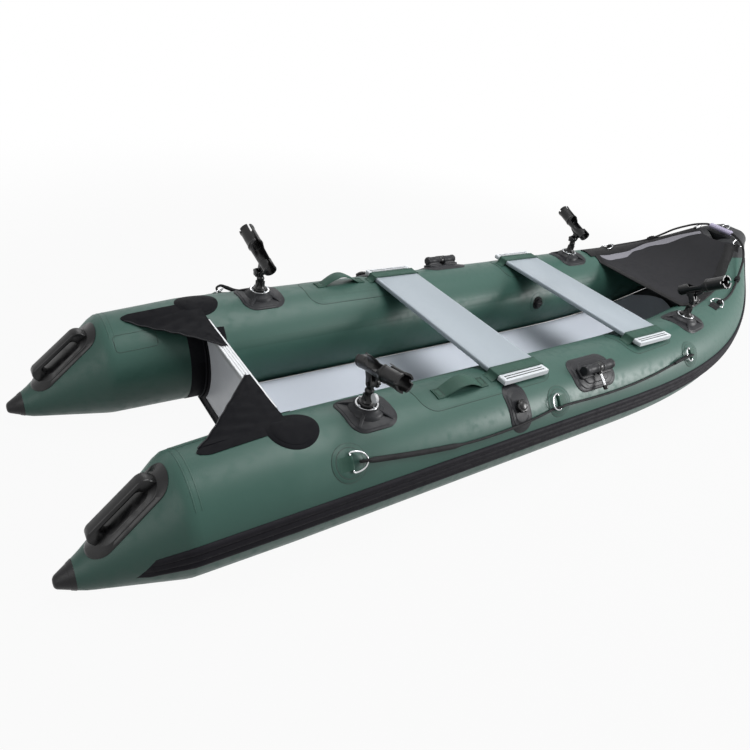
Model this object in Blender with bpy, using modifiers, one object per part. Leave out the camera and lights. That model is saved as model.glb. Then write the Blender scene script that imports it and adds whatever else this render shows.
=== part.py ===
"""Inflatable two-seat kayak with a small transom, benches, rod holders, oarlocks and grab lines.

Two air tubes run side by side, end in drooping cones at the stern and sweep in and up into one
horn at the bow. Metres, +Z up, +Y to the bow, +X to starboard, with the origin on the ground
under the middle of the boat. A station is a distance forward of the stern tips, and an angle
round a tube is in degrees outboard of its crest.
"""

import math

import bmesh
import bpy
from mathutils import Matrix, Vector

# Fits
CLEARANCE = 0.0003
RUNNING_FIT = 0.0004
SEAM_GAP = 0.0006

# Air tubes
LENGTH = 3.98
TUBE_RADIUS = 0.206
TUBE_OFFSET = 0.424
TUBE_SIDES = 24
STRAIGHT_START = 0.66
SHOULDER_STATION = 0.312
SHOULDER_RADIUS = TUBE_RADIUS - 0.019
SHOULDER_ROUNDING = 0.030
# The cone is blunt up to a knee a little forward of the cap's seam, and steep from there
STERN_KNEE_STATION = 0.075
STERN_KNEE_RADIUS = 0.056
STERN_KNEE_HEIGHT = 0.078
STERN_TIP_RADIUS = 0.029
STERN_TIP_HEIGHT = 0.070
STERN_CAP_LENGTH = 0.055
STERN_DOME = 0.018
SWEEP_START = 2.30
SWEEP_REACH = 1.60
SWEEP_STEPS = 14
HORN_OFFSET = 0.039
HORN_HEIGHT = 0.656
HORN_LEAD = 0.369
HORN_TOE_IN = 9.3
HORN_RISE = 18.1
HORN_DOME = 0.030
HORN_RADIUS = 0.064
NOSE_STATION = 3.845
NOSE_OVERRUN = 0.02
NOSE_GAP = 0.001
NOSE_STEPS = 8
TAPER_START = 2.45
TAPER_POWER = 3.1

# Places of the rod holders, which the fore bench and the bow cover follow
ROD_STATIONS = {"aft": 0.985, "fore": 2.995}

# Rub strakes
STRAKE_TOP_ANGLE = 74.5
STRAKE_BOTTOM_ANGLE = 96.5
STRAKE_AFT_STATION = 0.27
STRAKE_FORE_STATION = 3.84
STRAKE_BASE = 0.0035
STRAKE_RIDGE = 0.0095
STRAKE_RIDGES = 3

# Bottom skin and air deck
SKIN_ANGLE = 150.0
SKIN_THICKNESS = 0.003
SKIN_AFT_STATION = 0.680
SKIN_FORE_STATION = 3.78
DECK_THICKNESS = 0.060
DECK_GAP = 0.001
DECK_HALF_WIDTH = 0.310
DECK_NOSE_START = 3.00
DECK_NOSE_END = 3.50
DECK_NOSE_STEPS = 8

# Transom
TRANSOM_STATION = 0.700
TRANSOM_THICKNESS = 0.024
TRANSOM_TOP = 2 * TUBE_RADIUS - 0.014
TRANSOM_HALF_WIDTH = 0.340
CAP_WIDTH = 0.042
CAP_WALL = 0.003
CAP_DEPTH = 0.020
CAP_HALF_LENGTH = 0.300
CAP_GROOVE = 0.0015
GUSSET_THICKNESS = 0.003
GUSSET_TIP_STATION = 0.410
GUSSET_INNER_X = 0.100
GUSSET_BAND_HALF_WIDTH = 0.040
GUSSET_PATCH_STATION = 0.710
GUSSET_PATCH_RADIUS = 0.085

# Benches
BENCH_STATIONS = (1.700, ROD_STATIONS["fore"] - 0.415)
BENCH_WIDTH = 0.250
BENCH_THICKNESS = 0.022
BENCH_HALF_LENGTH = 0.495
BENCH_EDGE_RADIUS = 0.006
SLEEVE_INNER_X = 0.403
SLEEVE_LENGTH = 0.052
SLEEVE_WALL = 0.004
SLEEVE_DEPTH = 0.070

# Strap handles
STRAP_STATION = 1.395
STRAP_ANGLE = 5.0
STRAP_SPAN = 0.250
STRAP_TAB = 0.030
STRAP_WIDTH = 0.052
STRAP_THICKNESS = 0.004
STRAP_RISE = 0.038

# Stern grab handles
GRAB_STATION = 0.208
GRAB_ANGLE = 14.0
GRAB_BASE_LENGTH = 0.300
GRAB_BASE_WIDTH = 0.128
GRAB_BASE_THICKNESS = 0.006
GRAB_STEP_INSET = 0.016
GRAB_STEP_RISE = 0.011
GRAB_BAR_LENGTH = 0.206
GRAB_BAR_WIDTH = 0.040
GRAB_BAR_HEIGHT = 0.046
GRAB_BAR_THICKNESS = 0.015
GRAB_FOOT_DEPTH = 0.024

# Rod holders
ROD_PAD_SIZE = 0.190
ROD_PAD_CORNER = 0.055
ROD_PAD_THICKNESS = 0.005
ROD_BOSS_FOOT = 0.062
ROD_BOSS_TOP = 0.040
ROD_BOSS_HEIGHT = 0.026
ROD_NECK_FOOT = 0.030
ROD_NECK_RADIUS = 0.014
ROD_HINGE_HEIGHT = 0.106
ROD_TONGUE_RADIUS = 0.015
ROD_TONGUE_WIDTH = 0.012
ROD_EAR_WIDTH = 0.006
ROD_BOLT_RADIUS = 0.0036
ROD_BOLT_HEAD = 0.0075
ROD_CRADLE_LIFT = 0.064
ROD_CRADLE_LENGTH = 0.245
ROD_CRADLE_BEHIND = 0.060
ROD_CRADLE_RADIUS = 0.031
ROD_CRADLE_BORE = 0.0255
ROD_BUTT_RADIUS = 0.026
ROD_BUTT_BORE = 0.0215
ROD_BUTT_LENGTH = 0.045
ROD_COLLAR_LENGTH = 0.100
ROD_SLOT_HALF_WIDTH = 0.006
ROD_MOUTH_NOTCH = 0.014
ROD_KNOB_RADIUS = 0.019
ROD_KNOB_WIDTH = 0.016
# Heading of each cradle's mouth, in degrees from the bow towards starboard, and its rise
ROD_POSES = {
    ("port", "aft"): (268.0, 20.0),
    ("starboard", "aft"): (92.0, 15.0),
    ("port", "fore"): (280.0, 16.0),
    ("starboard", "fore"): (98.0, 36.0),
}

# Oarlocks
OARLOCK_STATION = 2.090
OARLOCK_ANGLE = 29.0
OARLOCK_PAD_LENGTH = 0.265
OARLOCK_PAD_WIDTH = 0.158
OARLOCK_PAD_CORNER = 0.055
OARLOCK_PAD_THICKNESS = 0.005
OARLOCK_STEP_INSET = 0.030
OARLOCK_STEP_RISE = 0.012
OARLOCK_BARREL_RADIUS = 0.022
OARLOCK_BARREL_HEIGHT = 0.038
OARLOCK_BARREL_LENGTH = 0.190
OARLOCK_SADDLE_WIDTH = 0.026
OARLOCK_AXLE_RADIUS = 0.009
OARLOCK_PIN_RADIUS = 0.0055
OARLOCK_PIN_LENGTH = 0.090
OARLOCK_PIN_DROOP = 12.0
OARLOCK_BALL_RADIUS = 0.0095

# Paddle clamp knobs
KNOB_STATION = 1.611
KNOB_ANGLE = 43.8
KNOB_FOOT_RADIUS = 0.017
KNOB_FOOT_HEIGHT = 0.010
KNOB_RADIUS = 0.026
KNOB_WAIST = 0.0185
KNOB_HEIGHT = 0.018
KNOB_POINTS = 6

# Valves
VALVE_STATION = 2.606
VALVE_ANGLE = -76.7
VALVE_FLANGE_RADIUS = 0.036
VALVE_FLANGE_HEIGHT = 0.005
VALVE_CAP_RADIUS = 0.026
VALVE_CAP_HEIGHT = 0.012

# D-rings: station, angle, heading of the loop (1 to the bow, -1 to the stern) and lift in degrees
RING_PLACES = {
    "aft": (0.845, 47.0, 1, 24.0),
    "mid": (1.830, 51.0, -1, 14.0),
    "fore": (2.825, 50.0, -1, 12.0),
    "bow": (ROD_STATIONS["fore"] + 0.335, 9.0, 1, 12.0),
}
RING_HALF_WIDTH = 0.033
RING_REACH = 0.052
RING_WIRE_RADIUS = 0.003
RING_AXIS_HEIGHT = 0.0060
RING_STEPS = 8
TAB_RADIUS = 0.0088
TAB_LENGTH = 0.034

# Bow cover
COVER_AFT_STATION = ROD_STATIONS["fore"] + 0.195
COVER_FORE_STATION = 3.825
COVER_THICKNESS = 0.003
# Angle of each hem, from one station to another
COVER_HEMS = {-1: (-2.0, 3.45, 14.0, 3.60), 1: (-15.0, 3.70, 0.0, 3.825)}

# Lines
ROPE_RADIUS = 0.0045
BOW_ROPE_RADIUS = 0.0055
GRIP_RADIUS = 0.0150
GRIP_LENGTH = 0.140
GRIP_PLACE = (0.0, 1.812, 0.711)
# Grab line on the starboard tube: station, angle and height of the rope's middle over the skin
GRAB_LINE = (
    (1.000, 52.3, 0.0150),
    (0.950, 50.6, 0.0180),
    (0.915, 49.0, 0.0330),
    (0.887, 48.0, 0.0450),
    (0.866, 47.6, 0.0340),
    (0.872, 47.8, 0.0160),
    (0.905, 49.4, 0.0075),
    (0.960, 51.6, 0.0060),
    (1.140, 58.0, 0.0062),
    (1.340, 63.0, 0.0062),
    (1.560, 63.0, 0.0062),
    (1.700, 60.2, 0.0062),
    (1.795, 57.3, 0.0062),
    (1.814, 57.0, 0.0105),
    (1.832, 57.0, 0.0165),
    (1.855, 57.0, 0.0110),
    (1.900, 57.6, 0.0062),
    (2.100, 59.5, 0.0062),
    (2.300, 58.9, 0.0062),
    (2.460, 56.8, 0.0062),
    (2.600, 54.2, 0.0062),
    (2.740, 51.4, 0.0060),
    (2.786, 50.6, 0.0062),
    (2.802, 50.4, 0.0160),
    (2.800, 50.3, 0.0290),
    (2.778, 50.2, 0.0360),
    (2.745, 50.4, 0.0290),
    (2.705, 51.2, 0.0170),
    (2.660, 52.0, 0.0150),
)
# Half of the bow line, from a ring to the grip: station, angle and height over the skin
BOW_LINE = (
    (3.352, 10.0, 0.0060),
    (3.400, 12.0, 0.0060),
    (3.450, 15.0, 0.0062),
    (3.520, 17.0, 0.0062),
    (3.600, 18.0, 0.0064),
    (3.665, 18.0, 0.0110),
    (3.710, 19.0, 0.0200),
    (3.750, 21.0, 0.0290),
    (3.790, 24.0, 0.0290),
    (3.828, 21.0, 0.0250),
)

SIDES = {"port": -1, "starboard": 1}
KAYAK = None
CUTTERS = None


def clear_scene():
    """Remove every object, so that the script can be run twice."""
    for item in list(bpy.data.objects):
        bpy.data.objects.remove(item, do_unlink=True)


def make_collection(name):
    """Link a new collection to the scene."""
    collection = bpy.data.collections.new(name)
    bpy.context.scene.collection.children.link(collection)
    return collection


def make_material(name, colour, roughness, metallic=0.0):
    """A plain Principled material."""
    material = bpy.data.materials.new(name)
    material.use_nodes = True
    shader = material.node_tree.nodes["Principled BSDF"]
    shader.inputs["Base Color"].default_value = (*colour, 1.0)
    shader.inputs["Roughness"].default_value = roughness
    shader.inputs["Metallic"].default_value = metallic
    material.diffuse_color = (*colour, 1.0)
    return material


# Geometry of the air tubes


def fore(station):
    """World Y of a station."""
    return station - LENGTH / 2


def sweep_controls():
    """Bezier points of the starboard tube's middle line from the straight stretch to the horn."""
    toe_in = math.radians(HORN_TOE_IN)
    rise = math.radians(HORN_RISE)
    heading = Vector(
        (
            -math.sin(toe_in) * math.cos(rise),
            math.cos(toe_in) * math.cos(rise),
            math.sin(rise),
        )
    )
    start = Vector((TUBE_OFFSET, fore(SWEEP_START), TUBE_RADIUS))
    end = Vector((HORN_OFFSET, fore(LENGTH - HORN_DOME), HORN_HEIGHT))
    return start, start + Vector((0, SWEEP_REACH, 0)), end - heading * HORN_LEAD, end, heading


def sweep_point(parameter):
    """Point and direction on the bow sweep, for a parameter from 0 to 1."""
    first, second, third, last, _ = sweep_controls()
    rest = 1.0 - parameter
    point = (
        first * rest**3
        + second * 3 * rest**2 * parameter
        + third * 3 * rest * parameter**2
        + last * parameter**3
    )
    direction = (
        (second - first) * rest**2
        + (third - second) * 2 * rest * parameter
        + (last - third) * parameter**2
    )
    return point, direction.normalized()


def sweep_parameter(station):
    """Parameter at which the bow sweep passes a station, by halving."""
    low, high = 0.0, 1.0
    for _ in range(40):
        middle = (low + high) / 2
        if sweep_point(middle)[0].y < fore(station):
            low = middle
        else:
            high = middle
    return (low + high) / 2


def cone_radius(station):
    """Radius of the stern cone, rounded off over its last stretch."""
    if station < STERN_KNEE_STATION:
        share = station / STERN_KNEE_STATION
        radius = STERN_TIP_RADIUS + (STERN_KNEE_RADIUS - STERN_TIP_RADIUS) * share
    else:
        share = (station - STERN_KNEE_STATION) / (SHOULDER_STATION - STERN_KNEE_STATION)
        radius = STERN_KNEE_RADIUS + (SHOULDER_RADIUS - STERN_KNEE_RADIUS) * share
    if station < STERN_DOME:
        radius *= math.sqrt(1.0 - (1.0 - station / STERN_DOME) ** 2)
    return radius


def bow_radius(station):
    """Radius of the tube along the bow sweep."""
    run = (station - TAPER_START) / (LENGTH - HORN_DOME - TAPER_START)
    return TUBE_RADIUS - (TUBE_RADIUS - HORN_RADIUS) * max(0.0, run) ** TAPER_POWER


def tube_axis(station):
    """Middle, direction and radius of the starboard tube's section at a station."""
    if station < SHOULDER_STATION:
        if station < STERN_KNEE_STATION:
            start, low, end, high = 0.0, STERN_TIP_HEIGHT, STERN_KNEE_STATION, STERN_KNEE_HEIGHT
        else:
            start, low, end, high = STERN_KNEE_STATION, STERN_KNEE_HEIGHT, SHOULDER_STATION, SHOULDER_RADIUS
        height = low + (high - low) * (station - start) / (end - start)
        slope = Vector((0, end - start, high - low)).normalized()
        return Vector((TUBE_OFFSET, fore(station), height)), slope, cone_radius(station)
    if station < STRAIGHT_START:
        run = STRAIGHT_START - SHOULDER_STATION
        radius = SHOULDER_RADIUS + (TUBE_RADIUS - SHOULDER_RADIUS) * (station - SHOULDER_STATION) / run
        slope = Vector((0, run, TUBE_RADIUS - SHOULDER_RADIUS)).normalized()
        return Vector((TUBE_OFFSET, fore(station), radius)), slope, radius
    if station <= SWEEP_START:
        return Vector((TUBE_OFFSET, fore(station), TUBE_RADIUS)), Vector((0, 1, 0)), TUBE_RADIUS
    point, direction = sweep_point(sweep_parameter(station))
    return point, direction, bow_radius(station)


def tube_stations():
    """Stations of the rings that make up a tube, from the stern cap's seam to the nose cap's."""
    stations = [
        STERN_CAP_LENGTH,
        STERN_KNEE_STATION,
        SHOULDER_STATION - SHOULDER_ROUNDING,
        SHOULDER_STATION + SHOULDER_ROUNDING,
        STRAIGHT_START,
        1.2,
        1.75,
        SWEEP_START,
    ]
    for step in range(1, SWEEP_STEPS):
        point, _ = sweep_point(step / SWEEP_STEPS)
        stations.append(point.y + LENGTH / 2)
    return [station for station in stations if station < NOSE_STATION - 0.02] + [NOSE_STATION]


def cap_stations():
    """Stations of the stern cap's rings, closer together where the tip rounds off."""
    return [STERN_CAP_LENGTH * share for share in (0.02, 0.12, 0.32, 0.60, 1.0)]


def mirrored(point, side):
    """A starboard point, taken to the port side if side is -1."""
    return Vector((point.x * side, point.y, point.z))


def skin_point(side, station, angle, height=0.0):
    """Point on a tube's skin, or at a height over it."""
    middle, direction, radius = tube_axis(station)
    outboard = direction.cross(Vector((0, 0, 1))).normalized()
    upward = outboard.cross(direction)
    turn = math.radians(angle)
    reach = radius + height
    point = middle + (upward * math.cos(turn) + outboard * math.sin(turn)) * reach
    return mirrored(point, side)


def skin_frame(side, station, angle, height=0.0):
    """Right-handed frame on the skin: X along the tube to the bow, Z out of the skin."""
    step = 0.004
    along = skin_point(side, station + step, angle) - skin_point(side, station - step, angle)
    along.normalize()
    around = skin_point(side, station, angle + 1.0) - skin_point(side, station, angle - 1.0)
    around.normalize()
    normal = along.cross(around) if side < 0 else around.cross(along)
    normal.normalize()
    across = normal.cross(along)
    frame = Matrix((along, across, normal)).transposed().to_4x4()
    frame.translation = skin_point(side, station, angle) + normal * height
    return frame


# Making and joining meshes


def link(name, mesh, material=None, cutter=False):
    """Put a mesh in the scene as an object."""
    item = bpy.data.objects.new(name, mesh)
    if cutter:
        item.hide_render = True
        item.display_type = "WIRE"
        CUTTERS.objects.link(item)
    else:
        KAYAK.objects.link(item)
    if material is not None:
        item.data.materials.clear()
        item.data.materials.append(material)
    return item


def mesh_from_curve(curve, name):
    """Closed mesh of a curve's tube or slab, with its caps welded on."""
    item = bpy.data.objects.new(name, curve)
    CUTTERS.objects.link(item)
    bpy.context.view_layer.update()
    graph = bpy.context.evaluated_depsgraph_get()
    mesh = bpy.data.meshes.new_from_object(item.evaluated_get(graph))
    bpy.data.objects.remove(item, do_unlink=True)
    work = bmesh.new()
    work.from_mesh(mesh)
    bmesh.ops.remove_doubles(work, verts=work.verts, dist=0.00002)
    bmesh.ops.recalc_face_normals(work, faces=work.faces)
    work.to_mesh(mesh)
    work.free()
    mesh.name = name
    return mesh


def mesh_from_bmesh(work, name):
    """Mesh of a finished bmesh."""
    bmesh.ops.recalc_face_normals(work, faces=work.faces)
    mesh = bpy.data.meshes.new(name)
    work.to_mesh(mesh)
    work.free()
    return mesh


def pipe_mesh(name, points, radii, resolution, cyclic=False):
    """Tube along points, with a radius at each, as a bevelled poly curve."""
    largest = max(radii)
    curve = bpy.data.curves.new(name, "CURVE")
    curve.dimensions = "3D"
    curve.twist_mode = "Z_UP"
    curve.bevel_depth = largest
    curve.bevel_resolution = resolution
    curve.use_fill_caps = not cyclic
    spline = curve.splines.new("POLY")
    spline.points.add(len(points) - 1)
    spline.use_cyclic_u = cyclic
    for knot, point, radius in zip(spline.points, points, radii):
        knot.co = (*point, 1.0)
        knot.radius = radius / largest
    return mesh_from_curve(curve, name)


def slab_mesh(name, outline, low, high):
    """Flat outline in the XY plane, filled and extruded from one height to another."""
    curve = bpy.data.curves.new(name, "CURVE")
    curve.dimensions = "2D"
    curve.fill_mode = "BOTH"
    curve.extrude = (high - low) / 2
    spline = curve.splines.new("POLY")
    spline.points.add(len(outline) - 1)
    spline.use_cyclic_u = True
    for knot, (x, y) in zip(spline.points, outline):
        knot.co = (x, y, 0.0, 1.0)
    mesh = mesh_from_curve(curve, name)
    mesh.transform(Matrix.Translation((0, 0, (high + low) / 2)))
    return mesh


def rod_mesh(name, radius, low, high, sides, top_radius=None):
    """Cylinder, or cone frustum, along Z."""
    work = bmesh.new()
    bmesh.ops.create_cone(
        work,
        cap_ends=True,
        segments=sides,
        radius1=radius,
        radius2=radius if top_radius is None else top_radius,
        depth=high - low,
        matrix=Matrix.Translation((0, 0, (low + high) / 2)),
    )
    return mesh_from_bmesh(work, name)


def box_mesh(name, low, high):
    """Box between two corners."""
    work = bmesh.new()
    size = [h - l for l, h in zip(low, high)]
    middle = [(h + l) / 2 for l, h in zip(low, high)]
    place = Matrix.Translation(middle) @ Matrix.Diagonal((*size, 1.0))
    bmesh.ops.create_cube(work, size=1.0, matrix=place)
    return mesh_from_bmesh(work, name)


def ball_mesh(name, radius, middle):
    """Ball made of rings."""
    work = bmesh.new()
    place = Matrix.Translation(middle)
    bmesh.ops.create_uvsphere(work, u_segments=10, v_segments=6, radius=radius, matrix=place)
    return mesh_from_bmesh(work, name)


def rounded_outline(length, width, corner, steps=3):
    """Rectangle with round corners, about the origin."""
    outline = []
    centres = (
        (length / 2 - corner, width / 2 - corner, 0),
        (corner - length / 2, width / 2 - corner, 90),
        (corner - length / 2, corner - width / 2, 180),
        (length / 2 - corner, corner - width / 2, 270),
    )
    for x, y, start in centres:
        for step in range(steps + 1):
            turn = math.radians(start + 90 * step / steps)
            outline.append((x + corner * math.cos(turn), y + corner * math.sin(turn)))
    return outline


def turned_to(axis):
    """Rotation that lays a solid made along Z along another axis of its own frame."""
    return {
        "X": Matrix.Rotation(math.radians(90), 4, "Y"),
        "Y": Matrix.Rotation(math.radians(-90), 4, "X"),
        "Z": Matrix.Identity(4),
    }[axis]


def moved(mesh, matrix):
    """The same mesh after a transform."""
    mesh.transform(matrix)
    return mesh


def combined(body, other, operation):
    """Mesh of one solid joined with, or cut by, another."""
    base = bpy.data.objects.new("base", body)
    tool = bpy.data.objects.new("tool", other)
    CUTTERS.objects.link(base)
    CUTTERS.objects.link(tool)
    modifier = base.modifiers.new(operation.lower(), "BOOLEAN")
    modifier.operation = operation
    modifier.object = tool
    bpy.context.view_layer.update()
    graph = bpy.context.evaluated_depsgraph_get()
    result = bpy.data.meshes.new_from_object(base.evaluated_get(graph))
    for item in (base, tool):
        bpy.data.objects.remove(item, do_unlink=True)
    return result


def joined(body, *others):
    """Union of meshes."""
    for other in others:
        body = combined(body, other, "UNION")
    return body


def carved(body, *others):
    """A mesh less other meshes."""
    for other in others:
        body = combined(body, other, "DIFFERENCE")
    return body


def kept_inside(body, other):
    """The part of a mesh that lies inside another."""
    return combined(body, other, "INTERSECT")


def grid_sheet(name, rows, thickness, material):
    """Sheet through rows of points, thickened upwards with Solidify."""
    work = bmesh.new()
    lines = [[work.verts.new(point) for point in row] for row in rows]
    for near, far in zip(lines, lines[1:]):
        for left in range(len(near) - 1):
            work.faces.new((near[left], near[left + 1], far[left + 1], far[left]))
    item = link(name, mesh_from_bmesh(work, name), material)
    if item.data.polygons[0].normal.z < 0:
        item.data.flip_normals()
    solidify = item.modifiers.new("thickness", "SOLIDIFY")
    solidify.thickness = thickness
    solidify.offset = 1.0
    return item


def seat_on_tube(item, side):
    """Cut a piece to the tube that it lies on, with the touching gap left between them."""
    modifier = item.modifiers.new("seat", "BOOLEAN")
    modifier.operation = "DIFFERENCE"
    modifier.object = bpy.data.objects[f"tube_space_{side}"]
    return item


def smooth(item, limit=40.0):
    """Smooth shading on round pieces, with sharp edges kept."""
    item.data.shade_smooth()
    item.data.set_sharp_from_angle(angle=math.radians(limit))
    return item


# The hull


def tube_rings(side, extra=0.0, whole=False):
    """Middles and radii of one tube's rings, grown by an extra radius."""
    stations = tube_stations()
    if whole:
        stations = cap_stations()[:-1] + stations
    points = []
    radii = []
    for station in stations:
        middle, _, radius = tube_axis(station)
        points.append(mirrored(middle, side))
        radii.append(radius + extra)
    if whole:
        points.append(points[-1] + (points[-1] - points[-2]).normalized() * NOSE_OVERRUN)
        radii.append(radii[-1])
    return points, radii


def tube_mesh(name, side, extra=0.0, whole=False):
    """Swept mesh of one tube, in triangles so that the tube and its cutters match."""
    points, radii = tube_rings(side, extra, whole)
    mesh = pipe_mesh(name, points, radii, TUBE_SIDES // 2 - 2)
    work = bmesh.new()
    work.from_mesh(mesh)
    bmesh.ops.triangulate(work, faces=work.faces, quad_method="FIXED")
    work.to_mesh(mesh)
    work.free()
    return mesh


def trimmed_at_middle(mesh, side):
    """Mesh cut off at the boat's middle plane, where the two tubes meet."""
    work = bmesh.new()
    work.from_mesh(mesh)
    seam = Vector((side * SEAM_GAP / 2, 0, 0))
    everything = work.verts[:] + work.edges[:] + work.faces[:]
    cut = bmesh.ops.bisect_plane(
        work, geom=everything, plane_co=seam, plane_no=Vector((-side, 0, 0)), clear_outer=True
    )
    rim = [piece for piece in cut["geom_cut"] if isinstance(piece, bmesh.types.BMEdge)]
    bmesh.ops.edgeloop_fill(work, edges=rim)
    bmesh.ops.recalc_face_normals(work, faces=work.faces)
    work.to_mesh(mesh)
    work.free()
    return mesh


def ring_frame(side, place):
    """Frame of a D-ring's bar: X along the bar, Y the way the loop reaches, Z square to both."""
    station, angle, heading, lift = RING_PLACES[place]
    skin = skin_frame(side, station, angle, RING_AXIS_HEIGHT)
    turn = Matrix.Rotation(math.radians(-90 * heading), 4, "Z")
    return skin @ turn @ Matrix.Rotation(math.radians(lift), 4, "X")


def tab_mesh(frame, length, radius, sides=10):
    """Rod along the X axis of a frame."""
    rod = rod_mesh("tab", radius, -length / 2, length / 2, sides)
    return moved(rod, frame @ turned_to("X"))


def build_tubes(green):
    """The two air tubes, each with its ring tabs and its valve flange welded on."""
    for name, side in SIDES.items():
        space = tube_mesh(f"tube_space_{name}", side, CLEARANCE, whole=True)
        link(f"tube_space_{name}", space, cutter=True)
        body = trimmed_at_middle(tube_mesh(f"{name}_tube", side), side)
        for place in RING_PLACES:
            frame = ring_frame(side, place)
            bore = RING_WIRE_RADIUS + 2 * RUNNING_FIT
            body = joined(body, tab_mesh(frame, TAB_LENGTH, TAB_RADIUS))
            body = carved(body, tab_mesh(frame, 3 * TAB_LENGTH, bore))
        flange = rod_mesh("flange", VALVE_FLANGE_RADIUS, -0.006, VALVE_FLANGE_HEIGHT, 16)
        flange = moved(flange, skin_frame(side, VALVE_STATION, VALVE_ANGLE))
        smooth(link(f"{name}_tube", joined(body, flange), green))


def build_stern_caps(black):
    """Moulded caps that close the tips of the stern cones."""
    _, slope, _ = tube_axis(0.0)
    for name, side in SIDES.items():
        points = []
        radii = []
        for station in cap_stations():
            middle, _, radius = tube_axis(station)
            points.append(mirrored(middle, side))
            radii.append(radius)
        points[-1] = points[-1] - slope * CLEARANCE
        mesh = pipe_mesh(f"{name}_stern_cap", points, radii, TUBE_SIDES // 2 - 2)
        smooth(link(f"{name}_stern_cap", mesh, black))


def nose_section(middle, direction, radius):
    """Points round both tubes together, each side square to its own tube."""
    outboard = direction.cross(Vector((0, 0, 1))).normalized()
    upward = outboard.cross(direction)
    right = []
    for step in range(NOSE_STEPS + 1):
        turn = math.radians(180 * step / NOSE_STEPS - 90)
        right.append(middle + (outboard * math.cos(turn) + upward * math.sin(turn)) * radius)
    return right + [mirrored(point, -1) for point in reversed(right)]


def build_nose_cap(black):
    """Moulded cap that closes the ends of both tubes in one horn."""
    points, radii = tube_rings(1)
    direction = (points[-1] - points[-2]).normalized()
    sections = [nose_section(points[-1] + direction * NOSE_GAP, direction, radii[-1])]
    start = sweep_parameter(NOSE_STATION)
    for share in (0.5, 1.0):
        end, direction = sweep_point(start + (1.0 - start) * share)
        sections.append(nose_section(end, direction, bow_radius(end.y + LENGTH / 2)))
    for share in (0.40, 0.75, 0.97):
        shrink = math.sqrt(1.0 - share**2)
        middle = end + direction * HORN_DOME * share
        middle.x = end.x * shrink
        sections.append(nose_section(middle, direction, HORN_RADIUS * shrink))
    smooth(link("nose_cap", loft_mesh("nose_cap", sections), black), 50.0)


def strake_section(side, station, shift):
    """Points round the strake's section: a sunk back and a ridged face."""
    angles = STRAKE_BOTTOM_ANGLE - STRAKE_TOP_ANGLE
    section = []
    for share in (0.0, 0.33, 0.67, 1.0):
        angle = STRAKE_TOP_ANGLE + angles * share
        section.append(skin_point(side, station + shift * share, angle, -0.004))
    peaks = 2 * STRAKE_RIDGES
    for step in range(peaks, -1, -1):
        share = step / peaks
        height = STRAKE_RIDGE if step % 2 else STRAKE_BASE
        angle = STRAKE_TOP_ANGLE + angles * share
        section.append(skin_point(side, station + shift * share, angle, height))
    return section


def loft_mesh(name, sections):
    """Solid through closed sections that have the same number of points."""
    work = bmesh.new()
    rings = [[work.verts.new(point) for point in section] for section in sections]
    for near, far in zip(rings, rings[1:]):
        for index in range(len(near)):
            after = (index + 1) % len(near)
            work.faces.new((near[index], near[after], far[after], far[index]))
    work.faces.new(rings[0])
    work.faces.new(rings[-1])
    ends = [face for face in work.faces if len(face.verts) > 4]
    bmesh.ops.triangulate(work, faces=ends)
    return mesh_from_bmesh(work, name)


def build_rub_strakes(rubber):
    """Three-ridged rub strakes along the outboard sides."""
    stations = [STRAKE_AFT_STATION]
    stations += [s for s in tube_stations() if STRAKE_AFT_STATION < s < STRAKE_FORE_STATION - 0.02]
    stations.append(STRAKE_FORE_STATION)
    for name, side in SIDES.items():
        sections = []
        for station in stations:
            shift = -0.05 if station == STRAKE_AFT_STATION else 0.0
            sections.append(strake_section(side, station, shift))
        item = link(f"{name}_rub_strake", loft_mesh("strake", sections), rubber)
        seat_on_tube(item, name)


def skin_rows():
    """Stations at which the bottom skin is drawn."""
    inner = [s for s in tube_stations() if SKIN_AFT_STATION < s < SKIN_FORE_STATION]
    return [SKIN_AFT_STATION, *inner, SKIN_FORE_STATION]


def height_between(rows, station, angle):
    """Height of the tube's skin at an angle, on straight lines between rows of stations."""
    station = min(max(station, rows[0]), rows[-1])
    for near, far in zip(rows, rows[1:]):
        if station <= far:
            break
    share = (station - near) / (far - near)
    low = skin_point(1, near, angle).z
    high = skin_point(1, far, angle).z
    return low + (high - low) * share


def skin_height(station):
    """Height of the bottom skin's underside at its edges."""
    return height_between(skin_rows(), station, -SKIN_ANGLE)


def build_bottom_skin(grey):
    """Fabric bottom that joins the tubes under the deck and closes the bow."""
    rows = []
    for station in skin_rows():
        edge = skin_point(1, station, -SKIN_ANGLE + 6.0, -0.012)
        height = skin_height(station)
        rows.append([(edge.x * share, fore(station), height) for share in (-1, -0.5, 0, 0.5, 1)])
    item = grid_sheet("bottom_skin", rows, SKIN_THICKNESS, grey)
    for name in SIDES:
        seat_on_tube(item, name)


def deck_bottom(station=1.0):
    """Height of the air deck's underside, which follows the skin up at the bow."""
    return skin_height(station) + SKIN_THICKNESS + DECK_GAP


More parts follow.
